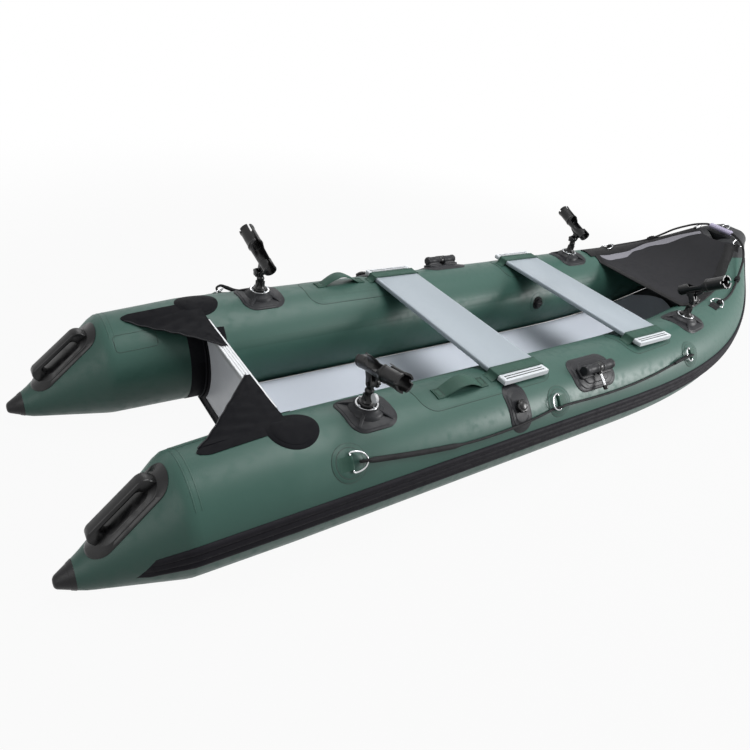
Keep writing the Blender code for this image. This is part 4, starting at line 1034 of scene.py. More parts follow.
# Hull


@dataclass
class Hull:
    """Air tubes, stern caps, nose, rub strakes, bottom skin and air deck."""

    palette: Palette
    seam_stations: tuple[float, ...] = (0.354, 0.372)
    seam_width: float = 0.0035
    seam_height: float = 0.0006
    tube_sides: int = 84
    tube_spacing: float = 0.022
    cap_lip: float = 0.0014
    strake_angles: Pair = (74.5, 96.5)
    strake_stations: Pair = (0.245, 3.84)
    strake_base: float = 0.0035
    strake_ridge: float = 0.0100
    skin_angle: float = 150.0
    skin_stations: Pair = (0.680, 3.78)
    skin_thickness: float = 0.003
    deck_thickness: float = 0.060
    deck_half_width: float = 0.310
    deck_stations: Pair = (0.7123, 3.50)
    deck_nose_start: float = 3.00
    valve_station: float = 2.606
    valve_angle: float = -76.7

    def build(self) -> None:
        """Make every piece of the hull."""
        for side in Side:
            self.tube(side)
            self.stern_cap(side)
            self.strake(side)
            self.seams(side)
        self.nose()
        self.bottom()
        self.deck()

    def tube(self, side: Side) -> None:
        """One air tube, flattened where it meets the other at the middle of the boat."""
        stations = span(FORM.CAP_SEAM + 0.0006, FORM.NOSE_SEAM - 0.001, round(3.79 / self.tube_spacing))
        turns = [360.0 * step / self.tube_sides for step in range(self.tube_sides)]
        sections = []
        for station in stations:
            section = [FORM.point(side, station, turn) for turn in turns]
            for point in section:
                point.x = side.value * max(side.value * point.x, 0.0003)
            sections.append(section)
        shape = Shape().loft(sections)
        self.palette.piece(shape, f"{side.tag}_air_tube", "coated_green", replaces=[f"{side.tag}_tube"])

    def stern_cap(self, side: Side) -> None:
        """Moulded cap over the tip of the stern cone, with a raised lip at its seam."""
        levels = [(0.0, 0.02), (0.0006, 0.50), (0.0020, 0.78), (0.0045, 0.93), (0.008, 1.0), (0.034, 1.0)]
        sections = [self._ring(side, station, FORM.section(station)[2] * share) for station, share in levels]
        for station, extra in ((0.040, 0.0), (0.0405, self.cap_lip), (0.054, self.cap_lip), (0.0555, 0.0)):
            sections.append(self._ring(side, station, FORM.section(station)[2] + extra))
        shape = Shape().loft(sections)
        name = f"{side.tag}_stern_cap"
        self.palette.piece(shape, f"{name}_moulding", "cap_black", replaces=[name])

    def _ring(self, side: Side, station: float, radius: float) -> list[Vector]:
        """Ring of points round the middle line, with its own radius."""
        middle, direction, _ = FORM.section(station)
        outboard, upward = FORM.axes(direction)
        ring = []
        for step in range(48):
            turn = 2 * math.pi * step / 48
            point = middle + (outboard * math.cos(turn) + upward * math.sin(turn)) * radius
            ring.append(flipped(point, side.value))
        return ring

    def strake(self, side: Side) -> None:
        """Rub strake with three rounded ridges and tapered ends."""
        low, high = self.strake_angles
        first, last = self.strake_stations
        sections = []
        for station in span(first, last, 150):
            fade = ease((station - first) / 0.012) * ease((last - station) / 0.03)
            shift = -0.05 * (1.0 - ease((station - first) / 0.30))
            section = []
            for share in (0.0, 0.5, 1.0):
                angle = low + (high - low) * share
                section.append(FORM.point(side, station + shift * share, angle, -0.003))
            for step in range(36, -1, -1):
                share = step / 36
                ridge = abs(math.sin(3 * math.pi * share)) ** 0.7
                lip = min(1.0, 12 * share, 12 * (1.0 - share)) ** 0.5
                height = self.strake_base * lip + (self.strake_ridge - self.strake_base) * ridge
                angle = low + (high - low) * share
                section.append(FORM.point(side, station + shift * share, angle, max(height * fade, 0.0004)))
            sections.append(section)
        shape = Shape().loft(sections)
        name = f"{side.tag}_rub_strake"
        self.palette.piece(shape, f"{name}_ridges", "strake_black", replaces=[name], sharp=50.0)

    def seams(self, side: Side) -> None:
        """Overlap seams: rings round the tube and tapes along it."""
        shape = Skinned()
        for station in self.seam_stations:
            shape.band(side, station, station + self.seam_width, (-30.0, 46.0), self.seam_height)
        shape.tape(side, ((0.30, 104.0), (3.80, 104.0)), 0.050, self.seam_height)
        shape.tape(side, ((0.80, -64.0), (3.15, -56.0)), 0.034, self.seam_height)
        frame = FORM.frame(side, self.valve_station, self.valve_angle)
        shape.plate(side, frame, disc(0.058), [(0.0, 0.0007), (0.002, 0.0014)])
        self.palette.piece(shape, f"{side.tag}_seam_tapes", "patch_green")
        panel = FORM.frame(side, 0.440, -38.0)
        line = Skinned().edging(side, panel, densified(rounded_box(0.150, 0.068, 0.014), 0.010), 0.0008)
        self.palette.piece(line, f"{side.tag}_panel_line", "thread_dark")
        flange = Shape().lathe(
            [(0.030, -0.004), (0.036, -0.002), (0.036, 0.002), (0.034, 0.005), (0.028, 0.0052),
            (0.027, 0.0036),
             (0.020, 0.0036)],
            frame,
            48,
        )
        self.palette.piece(flange, f"{side.tag}_valve_flange", "moulded_black")

    def nose(self) -> None:
        """Rubber horn that closes both tubes in one rounded end, with a patch running back from it."""
        sections = []
        swells = (
            (3.842, 0.0), (3.843, 0.0022), (3.86, 0.0022), (3.885, 0.0012), (3.915, 0.0), (3.9499, 0.0),
        )
        for station, extra in swells:
            middle, direction, radius = FORM.section(station)
            sections.append(self._stadium(middle, direction, radius + extra))
        middle, direction, _ = FORM.section(3.9499)
        for step in range(1, 9):
            share = math.sin(math.radians(88 * step / 8))
            shrink = math.sqrt(max(0.0, 1.0 - share**2))
            centre = middle + direction * FORM.HORN_DOME * share
            centre.x = middle.x * shrink
            sections.append(self._stadium(centre, direction, FORM.HORN_RADIUS * shrink))
        shape = Skinned().loft(sections)
        for side in Side:
            rows = []
            for angle in span(-64.0, 108.0, 44):
                reach = 3.755 + 0.050 * (1 - math.cos(math.radians(angle + 25.0)))
                levels = [(reach, -0.001), (reach, 0.0008), (reach + 0.002, 0.0015)]
                levels += [(3.80, 0.0016), (3.846, 0.0016)]
                points = [FORM.point(side, station, angle, lift) for station, lift in levels]
                rows.append([self._kept(side, point) for point in points])
            shape.loft(rows)
        self.palette.piece(shape, "nose_moulding", "nose_rubber", replaces=["nose_cap"], sharp=50.0)

    @staticmethod
    def _kept(side: Side, point: Vector) -> Vector:
        """A point kept on its own side of the boat's middle plane."""
        return Vector((side.value * max(side.value * point.x, 0.0001), point.y, point.z))

    def _stadium(self, middle: Vector, direction: Vector, radius: float) -> list[Vector]:
        """Section round both tubes together."""
        outboard, upward = FORM.axes(direction)
        directions = arc(1.0, span(-90.0, 90.0, 24))
        right = [middle + (outboard * across + upward * rise) * radius for across, rise in directions]
        flat = [flipped(right[-1], share) for share in (0.5, 0.0, -0.5)]
        under = [flipped(right[0], share) for share in (-0.5, 0.0, 0.5)]
        left = [flipped(point) for point in reversed(right)]
        return right + flat + left + under

    def skin_edge(self, station: float) -> Vector:
        """Where the bottom skin leaves the starboard tube."""
        return FORM.point(Side.STARBOARD, station, -self.skin_angle)

    def bottom(self) -> None:
        """Fabric bottom between the tubes, glued to them in a wide tape."""
        rows = []
        for station in span(*self.skin_stations, 90):
            edge = self.skin_edge(station)
            reach = FORM.point(Side.STARBOARD, station, -self.skin_angle + 4.0, 0.0).x
            rows.append([Vector((reach * share, edge.y, edge.z)) for share in span(-1.0, 1.0, 14)])
        shape = Skinned().grid(rows, self.skin_thickness)
        for side in Side:
            shape.tape(side, ((0.69, -158.0), (3.70, -158.0)), 0.070, 0.0009)
        item = self.palette.piece(shape, "bottom_fabric", "floor_grey", replaces=["bottom_skin"])

    def deck_half(self, station: float) -> float:
        """Half width of the air deck's outline."""
        if station <= self.deck_nose_start:
            return self.deck_half_width
        share = (station - self.deck_nose_start) / (self.deck_stations[1] - self.deck_nose_start)
        return self.deck_half_width * math.sqrt(max(0.0, 1.0 - share**2))

    def deck_low(self, station: float) -> float:
        """Height of the air deck's underside."""
        return self.skin_edge(station).z + self.skin_thickness + 0.001

    def deck(self) -> None:
        """Drop-stitch air deck with bulged sides, a wrap seam round its edge and a rounded nose."""
        first, last = self.deck_stations
        turns = [math.sin(math.radians(90 * step / 30)) for step in range(31)]
        nose = [self.deck_nose_start + (last - 0.001 - self.deck_nose_start) * turn for turn in turns]
        stations = span(first, self.deck_nose_start, 60)[:-1] + nose
        sections = []
        for station in stations:
            low = self.deck_low(station)
            half = max(min(self.deck_half(station), self._deck_room(station)), 0.004)
            bulge = min(0.012, half * 0.5)
            top = self.deck_thickness
            line = [(-half + bulge, 0.0), (-half, 0.012), (-half - 0.001, 0.022), (-half, 0.032)]
            line += [(-half, 0.044), (-half + 0.4 * bulge, 0.054), (-half + 1.2 * bulge, top - 0.0008)]
            line += [(-half + 3.0 * bulge, top)]
            line += [(share * (half - 3.0 * bulge), top) for share in (-0.6, -0.2, 0.2, 0.6)]
            section = [Vector((x, FORM.fore(station), low + z)) for x, z in line]
            mirror = [flipped(point) for point in reversed(section[:8])]
            sections.append(section + mirror)
        item = self.palette.piece(Shape().loft(sections), "drop_stitch_deck", "deck_pale",
            replaces=["air_deck"], sharp=50.0)

    def _deck_room(self, station: float) -> float:
        """Half width that the tubes leave for the deck at its thickest."""
        room = 1.0
        for turn in span(-92.0, -152.0, 24):
            point = FORM.point(Side.STARBOARD, station, turn)
            low = self.deck_low(station)
            if low - 0.004 < point.z < low + self.deck_thickness + 0.01:
                room = min(room, point.x - 0.0015)
        return room


# Transom


@dataclass
class Transom:
    """Board between the tubes with its capping channel, side holders and folded gussets."""

    palette: Palette
    hull: Hull
    station: float = 0.700
    thickness: float = 0.024
    top: float = 0.398
    half_width: float = 0.340
    gap: float = 0.0012
    cap_width: float = 0.042
    cap_depth: float = 0.020
    cap_half_length: float = 0.300
    cap_wall: float = 0.003
    groove: float = 0.0016
    tip_station: float = 0.424
    apex_x: float = 0.100
    gusset_thickness: float = 0.0022
    patch_station: float = 0.710
    patch_radius: float = 0.085
    fold_shift: float = 0.040
    band_width: float = 0.046

    def build(self) -> None:
        """Make every piece of the transom."""
        self.board()
        self.cap()
        self.holders()
        for side in Side:
            self.gusset(side)

    def _half(self, height: float) -> float:
        """Half width that the tubes leave at a height."""
        middle, _, radius = FORM.section(self.station)
        reach = (radius + self.gap) ** 2 - (height - middle.z) ** 2
        return min(self.half_width, middle.x - math.sqrt(max(reach, 0.0)))

    def _upright(self) -> Matrix:
        """Frame that stands an XY outline up across the boat, with its Z to the bow."""
        place = Matrix(((-1, 0, 0, 0), (0, 0, 1, 0), (0, 1, 0, 0), (0, 0, 0, 1)))
        place.translation = Vector((0, FORM.fore(self.station), 0))
        return place

    def board(self) -> None:
        """Painted board with ends that follow the tubes."""
        low = self.hull.deck_low(1.0) - 0.0005
        heights = span(low, self.top, 40)
        outline = both_halves([(self._half(height), height) for height in heights])
        half = self.thickness / 2
        shape = Shape().prism(outline, -half, half, self._upright(), edge=0.002)
        self.palette.piece(shape, "transom_panel_board", "panel_pale", replaces=["transom_board"])

    def cap(self) -> None:
        """Extruded capping channel with long grooves in its top and a small return on each lip."""
        top = self.top + 0.0003 + self.cap_wall
        outer, low = self.cap_width / 2, top - self.cap_depth
        inner = self.thickness / 2 + 0.0003
        line = [(-outer, low + 0.001), (-outer, top - 0.002), (-outer + 0.002, top)]
        for middle in (-0.0105, 0.0, 0.0105):
            line += [(middle - 0.0022, top), (middle - 0.0014, top - self.groove)]
            line += [(middle + 0.0014, top - self.groove), (middle + 0.0022, top)]
        line += [(outer - 0.002, top), (outer, top - 0.002), (outer, low + 0.001), (outer - 0.001, low)]
        line += [(inner, low), (inner, top - self.cap_wall), (-inner, top - self.cap_wall), (-inner, low)]
        line.append((-outer + 0.001, low))
        sections = []
        for x in (-self.cap_half_length, self.cap_half_length):
            sections.append([Vector((x, FORM.fore(self.station) + y, z)) for y, z in line])
        shape = Shape().loft(sections)
        self.palette.piece(shape, "transom_capping", "cap_aluminium", replaces=["transom_cap"], edge=0.0006)

    def holders(self) -> None:
        """Black fabric holders that bond the board's ends to the tubes, and its lower edge strip."""
        shape = Skinned()
        front, aft = self.station + 0.075, self.station - 0.078
        for side in Side:
            for start, end, angles in (
                (self.station + 0.0135, front, (-40.0, -146.0)),
                (aft, self.station - 0.0135, (-40.0, -150.0)),
            ):
                shape.band(side, start, end, angles, 0.0022)
            for offset in (-0.0185, 0.0185):
                station = self.station + offset
                ridge = [FORM.point(side, station, turn, 0.0035) for turn in span(-34.0, -140.0, 60)]
                shape.pipe(ridge, 0.0058, 10)
            for sign in (-1, 1):
                rows = []
                for height in span(self.hull.deck_low(1.0) + 0.001, self.top - 0.022, 30):
                    edge = self._half(height)
                    y = FORM.fore(self.station) + sign * (self.thickness / 2 + 0.0004)
                    rows.append(
                        [Vector((side.value * (edge - reach), y, height)) for reach in (0.0, 0.020, 0.028)]
                    )
                shape.grid(rows, 0.0022 * sign * side.value)
        low = self.hull.deck_low(1.0)
        y = FORM.fore(self.station) - self.thickness / 2
        rows = [
            [Vector((x, y - 0.0006, z)) for x in span(-0.300, 0.300, 30)]
            for z in (low + 0.001, low + 0.038)
        ]
        shape.grid(rows, 0.0022)
        self.palette.piece(shape, "transom_holders", "gusset_black")

    def _flap(self, side: Side, share: float, along: float) -> Vector:
        """Point of the flap between the tube's crest and the capping.

        Args:
            side: the tube.
            share: 0 at the crest and 1 at the apex over the cap.
            along: 0 at the free edge and 1 at the transom's front.

        Returns:
            The point on the sheet's underside.
        """
        front = self.station + 0.012
        start = self.tip_station
        seat = FORM.OFFSET - self.fold_shift
        crest = self._over(side, seat, start + (front - start) * along, 0.0016)
        reach = (seat - self.apex_x) * share
        free = start + (self.station - 0.006 - start) * share**0.92
        station = free + (front - free) * along
        cap = self.top + self.cap_wall + 0.0026
        high = crest.z + (cap - crest.z) * ease(min(1.0, share * 1.9))
        aft = max(0.0, (self.station - 0.024 - station) / 0.26)
        sag = 0.016 * math.sin(math.pi * min(1.0, share * 1.05)) * aft
        crease = 0.0022 * math.sin(38.0 * share + 9.0 * along) * min(1.0, 3.0 * aft) * (1.0 - 0.4 * share)
        crease += 0.0016 * noise.noise(Vector((share * 7.0, along * 5.0, side.value * 3.1)))
        over = self._over(side, seat - reach, station, 0.0022)
        height = high - sag + crease
        if share < 0.45:
            height = max(height, over.z)
        return Vector((side.value * (seat - reach), FORM.fore(station), height))

    def _over(self, side: Side, across: float, station: float, lift: float) -> Vector:
        """Point over a tube's skin at a distance from the middle plane.

        Args:
            side: the tube.
            across: distance from the middle plane.
            station: how far forward the point is, measured along the boat.
            lift: distance outwards from the skin.

        Returns:
            The point in world space.
        """
        place, point = station, Vector()
        for _ in range(4):
            middle, _direction, radius = FORM.section(place)
            lean = max(-0.97, min(0.97, (across - middle.x) / radius))
            point = FORM.point(side, place, math.degrees(math.asin(lean)), lift)
            place += FORM.fore(station) - point.y
        return point

    def gusset(self, side: Side) -> None:
        """Folded triangular sheet over the corner, with its band on the crest and a round patch."""
        rows = []
        for share in span(0.0, 1.0, 40):
            rows.append([self._flap(side, share, along) for along in span(0.0, 1.0, 18)])
        flap = Shape().grid(rows, -self.gusset_thickness * side.value)
        name = f"{side.tag}_gusset"
        item = self.palette.piece(flap, f"{name}_flap", "gusset_black", replaces=[name])
        fold = Shape().pipe([row[0] + Vector((0, 0, 0.0026)) for row in rows], 0.0022, 8)
        self.palette.piece(fold, f"{name}_fold", "pad_black")
        frame = FORM.frame(side, self.patch_station, 0.0)
        shape = Skinned()
        first, last = self.tip_station - 0.012, self.patch_station + 0.050
        rows = []
        for station in span(first, last, 48):
            share = (station - first) / (last - first)
            width = self.band_width * min(1.0, share / 0.10) ** 0.5
            middle = FORM.OFFSET - 0.5 * self.fold_shift
            ends = (middle - 0.62 * width, middle + 0.50 * width)
            rows.append([self._over(side, across, station, 0.0019) for across in span(*ends, 8)])
        shape.grid(rows, -0.0012 * side.value)
        shape.plate(side, frame, disc(self.patch_radius, 72), [(0.0, 0.0010), (0.002, 0.0022)])
        shape.plate(side, frame, disc(self.patch_radius - 0.016, 56), [(0.0, 0.0026), (0.002, 0.0036)])
        self.palette.piece(shape, f"{name}_patch", "gusset_black")


# Benches


@dataclass
class Bench:
    """Aluminium plank with ribbed white ends, and the fabric sleeves that hold it."""

    palette: Palette
    berth: Berth
    station: float
    width: float = 0.250
    thickness: float = 0.022
    half_length: float = 0.495
    end_length: float = 0.040
    lip: float = 0.0014
    lip_width: float = 0.015
    sleeve: Pair = (0.403, 0.455)
    sleeve_wall: float = 0.0034
    flare: float = 0.026
    flare_steps: int = 14
    patch: Pair = (0.34, 0.0)

    def __post_init__(self) -> None:
        """Find the height that the plank lies at."""
        edges = (self.station - self.width / 2, self.station + self.width / 2)
        self.bottom = max(FORM.point(Side.STARBOARD, edge, 0.0).z for edge in edges) + 0.0006

    def build(self) -> None:
        """Make the plank, its ends and its sleeves."""
        name = f"{self.berth.value}_bench"
        reach = self.half_length - self.end_length
        plank = Shape().loft(self._sections((-reach, reach), 0.0))
        self.palette.piece(plank, f"{name}_plank", "bench_aluminium", body=name, replaces=[name],
            edge=0.0012)
        ends, grooves = Shape(), Shape()
        for side in Side:
            inner = side.value * (reach + 0.0006)
            outer = side.value * self.half_length
            steps = (inner, inner + 0.6 * (outer - inner), outer - side.value * 0.003, outer)
            sections = self._sections(steps, 0.0006)
            middle = Vector((0.0, FORM.fore(self.station), self.bottom + self.thickness / 2))
            sections[-1] = [
                Vector((point.x, middle.y + (point.y - middle.y) * 0.994,
                middle.z + (point.z - middle.z) * 0.92))
                for point in sections[-1]
            ]
            ends.loft(sections)
            for share in (0.18, 0.50, 0.82):
                x = inner + (outer - inner) * share
                place = at(x, FORM.fore(self.station), self.bottom + self.thickness - 0.001)
                ends.prism(rounded_box(0.0060, self.width - 0.036, 0.0022), 0.0, 0.0014, place, edge=0.0005)
                if share < 0.8:
                    groove = place @ at(side.value * 0.0064, 0, 0)
                    grooves.prism(rounded_box(0.0044, self.width - 0.036, 0.0010), 0.0, 0.0007, groove)
        self.palette.piece(ends, f"{name}_end_caps", "end_white", body=name, edge=0.0012)
        self.palette.piece(grooves, f"{name}_end_grooves", "moulded_black", body=name)
        length, shift = self.patch
        for side in Side:
            self.sleeve_band(side)
            under = Skinned()
            frame = FORM.frame(side, self.station + shift, -3.0)
            outline = densified(rounded_box(length, 0.200, 0.060, 8), 0.02)
            under.plate(side, frame, outline, [(0.0, 0.0003), (0.0015, 0.0004)])
            self.palette.piece(under, f"{side.tag}_{name}_patch", "patch_green")
            self.palette.piece(Skinned().edging(side, frame, outline), f"{side.tag}_{name}_patch_edge",
                "thread_dark")

    def _sections(self, places: Sequence[float], grow: float) -> list[list[Vector]]:
        """Cross-sections of the plank, with its raised lips and rounded nose edges."""
        half, top = self.width / 2 + grow, self.thickness + grow
        bend = 0.006
        line = [(-half + bend, 0.0)]
        line += arc(bend, (270, 240, 210, 180), -half + bend, bend)
        line += arc(bend, (180, 150, 120, 90), -half + bend, top - bend)
        line += [(-half + self.lip_width, top), (-half + self.lip_width + 0.002, top - self.lip)]
        line += [(half - self.lip_width - 0.002, top - self.lip), (half - self.lip_width, top)]
        line += arc(bend, (90, 60, 30, 0), half - bend, top - bend)
        line += arc(bend, (0, -30, -60, -90), half - bend, bend)
        middle = FORM.fore(self.station)
        return [[Vector((x, middle + y, self.bottom + z)) for y, z in line] for x in places]

    def _sleeve_line(self, x: float) -> list[Vector]:
        """Path of the sleeve's outer face over the plank at one distance from the middle plane."""
        half = self.width / 2 + 0.0006
        top = self.bottom + self.thickness + 0.0008
        middle = FORM.fore(self.station)

        def flared(y: float, station: float, share: float) -> Vector:
            """Point of the flare, 0 at its foot on the tube and 1 at the plank."""
            skin = self._skin(x, station) + 0.0014
            return Vector((x, y, skin + (top - 0.004 - skin) * share**3.2))

        bend = 0.006
        line = []
        for share in span(1.0, 0.0, self.flare_steps):
            station = self.station - half - self.sleeve_wall - self.flare * share
            line.append(flared(FORM.fore(station), station, 1.0 - share))
        corner = (-half - self.sleeve_wall + bend, top + self.sleeve_wall - bend)
        for y, z in arc(bend, (150, 120, 90), *corner):
            line.append(Vector((x, middle + y, z)))
        mirror = []
        for index, point in enumerate(reversed(line), -3):
            y = 2 * middle - point.y
            if index < 0:
                mirror.append(Vector((x, y, point.z)))
            else:
                mirror.append(flared(y, y - FORM.fore(0.0), 1.0 - index / self.flare_steps))
        across = span(-half + 0.012, half - 0.012, 6)
        flat = [Vector((x, middle + y, top + self.sleeve_wall)) for y in across]
        return line + flat + mirror

    def _skin(self, x: float, station: float) -> float:
        """Height of the tube's skin at a distance from the middle plane."""
        middle, _, radius = FORM.section(station)
        return middle.z + math.sqrt(max(radius**2 - (abs(x) - middle.x) ** 2, 0.0))

    def sleeve_band(self, side: Side) -> None:
        """Fabric band over the plank's end, flared on to the tube."""
        low, high = self.sleeve
        rows = [self._sleeve_line(side.value * x) for x in span(low, high, 8)]
        shape = Skinned().grid(rows, self.sleeve_wall * side.value)
        for x in (low + 0.001, high - 0.001):
            shape.pipe(self._sleeve_line(side.value * x)[2:-2], 0.0014, 8)
        name = f"{side.tag}_{self.berth.value}_bench_sleeve"
        self.palette.piece(shape, f"{name}_band", "strap_green", replaces=[name])
        threads = Shape()
        for x in (low + 0.007, high - 0.007):
            line = [point + Vector((0, 0, 0.0003)) for point in self._sleeve_line(side.value * x)[3:-3]]
            threads.pipe(line, 0.0006, 6)
        self.palette.piece(threads, f"{name}_stitching", "thread_dark")


# Handles


@dataclass
class StrapHandle:
    """Soft carrying strap on a tube's crest, with stitched ends."""

    palette: Palette
    side: Side
    station: float = 1.395
    angle: float = 5.0
    length: float = 0.250
    tab: float = 0.030
    width: float = 0.052
    thickness: float = 0.0042
    rise: float = 0.038

    def _height(self, x: float) -> float:
        """Height of the strap's underside over the skin."""
        run = self.length / 2 - self.tab
        if abs(x) >= run:
            return 0.0008
        return 0.0008 + self.rise * ((1.0 + math.cos(math.pi * x / run)) / 2) ** 0.6

    def build(self) -> None:
        """Make the strap and its stitching."""
        frame = FORM.frame(self.side, self.station, self.angle)
        half, wide = self.length / 2, self.width / 2
        outline = (
            (-wide, 0.3), (-wide + 0.001, 0.0), (-0.4 * wide, 0.0), (0.4 * wide, 0.0), (wide - 0.001, 0.0),
            (wide, 0.3), (wide, 0.7), (wide - 0.0014, 1.0), (0.4 * wide, 1.12), (-0.4 * wide, 1.12),
            (-wide + 0.0014, 1.0), (-wide, 0.7),
        )
        sections = []
        for x in span(-half, half, 96):
            base = self._height(x)
            heights = [(y, base + z * self.thickness) for y, z in outline]
            sections.append([FORM.wrapped(self.side, frame, x, y, height) for y, height in heights])
        name = f"{self.side.tag}_strap_handle"
        item = self.palette.piece(Shape().loft(sections), f"{name}_strap", "strap_green", replaces=[name],
            sharp=50)
        threads = Shape()
        for end in (-1, 1):
            middle = end * (half - 0.020)
            outline = densified(rounded_box(0.028, self.width - 0.010, 0.002, 2), 0.006)
            for scale in (1.0, 0.72):
                line = []
                for x, y in outline:
                    place = middle + x * scale
                    lift = self._height(place) + 1.1 * self.thickness
                    line.append(FORM.wrapped(self.side, frame, place, y * scale, lift))
                threads.pipe(line, 0.0008, 6, endless=True)
        self.palette.piece(threads, f"{name}_stitching", "thread_dark")


@dataclass
class SternHandle:
    """Moulded grab handle on an oval stepped base, on the slope of a stern cone."""

    palette: Palette
    side: Side
    station: float = 0.206
    angle: float = -4.0
    base_length: float = 0.322
    base_width: float = 0.130
    bar_length: float = 0.240
    bar_width: float = 0.042
    bar_height: float = 0.0480
    slot: Pair = (0.152, 0.0300)

    def build(self) -> None:
        """Make the base and the bar."""
        frame = FORM.frame(self.side, self.station, self.angle)
        shape = Skinned()
        outline = densified(rounded_box(self.base_length, self.base_width, self.base_width / 2 - 0.001, 12),
            0.012)
        levels = [(0.0, 0.0022), (0.002, 0.0046), (0.013, 0.0054), (0.0145, 0.0084), (0.017, 0.0092)]
        levels += [(0.026, 0.0096), (0.0275, 0.0116), (0.030, 0.0122)]
        shape.plate(self.side, frame, outline, levels)
        half, top, (slot, roof) = self.bar_length / 2, self.bar_height, self.slot
        arch = [(half, -0.016), (half + 0.003, 0.006)]
        arch += arc(0.032, span(10.0, 90.0, 10), half - 0.030, top - 0.032)
        hole = [(slot / 2, -0.016), (slot / 2, roof - 0.013)]
        hole += arc(0.013, span(15.0, 90.0, 7), slot / 2 - 0.013, roof - 0.013)
        width = self.bar_width / 2
        outline = both_halves(arch) + both_halves(hole)[::-1]
        shape.prism(outline, -width, width, frame @ ON_EDGE, edge=0.0062)
        name = f"{self.side.tag}_stern_handle"
        self.palette.piece(shape, f"{name}_moulding", "moulded_black", replaces=[name], sharp=55)


# Rod holders


def lobed(radius: float, waist: float, lobes: int, steps: int = 8) -> list[Pair]:
    """Star outline with rounded lobes."""
    outline = []
    for step in range(lobes * steps):
        turn = 2 * math.pi * step / (lobes * steps)
        swell = (1.0 + math.cos(lobes * turn)) / 2
        reach = waist + (radius - waist) * swell**0.6
        outline.append((reach * math.cos(turn), reach * math.sin(turn)))
    return outline


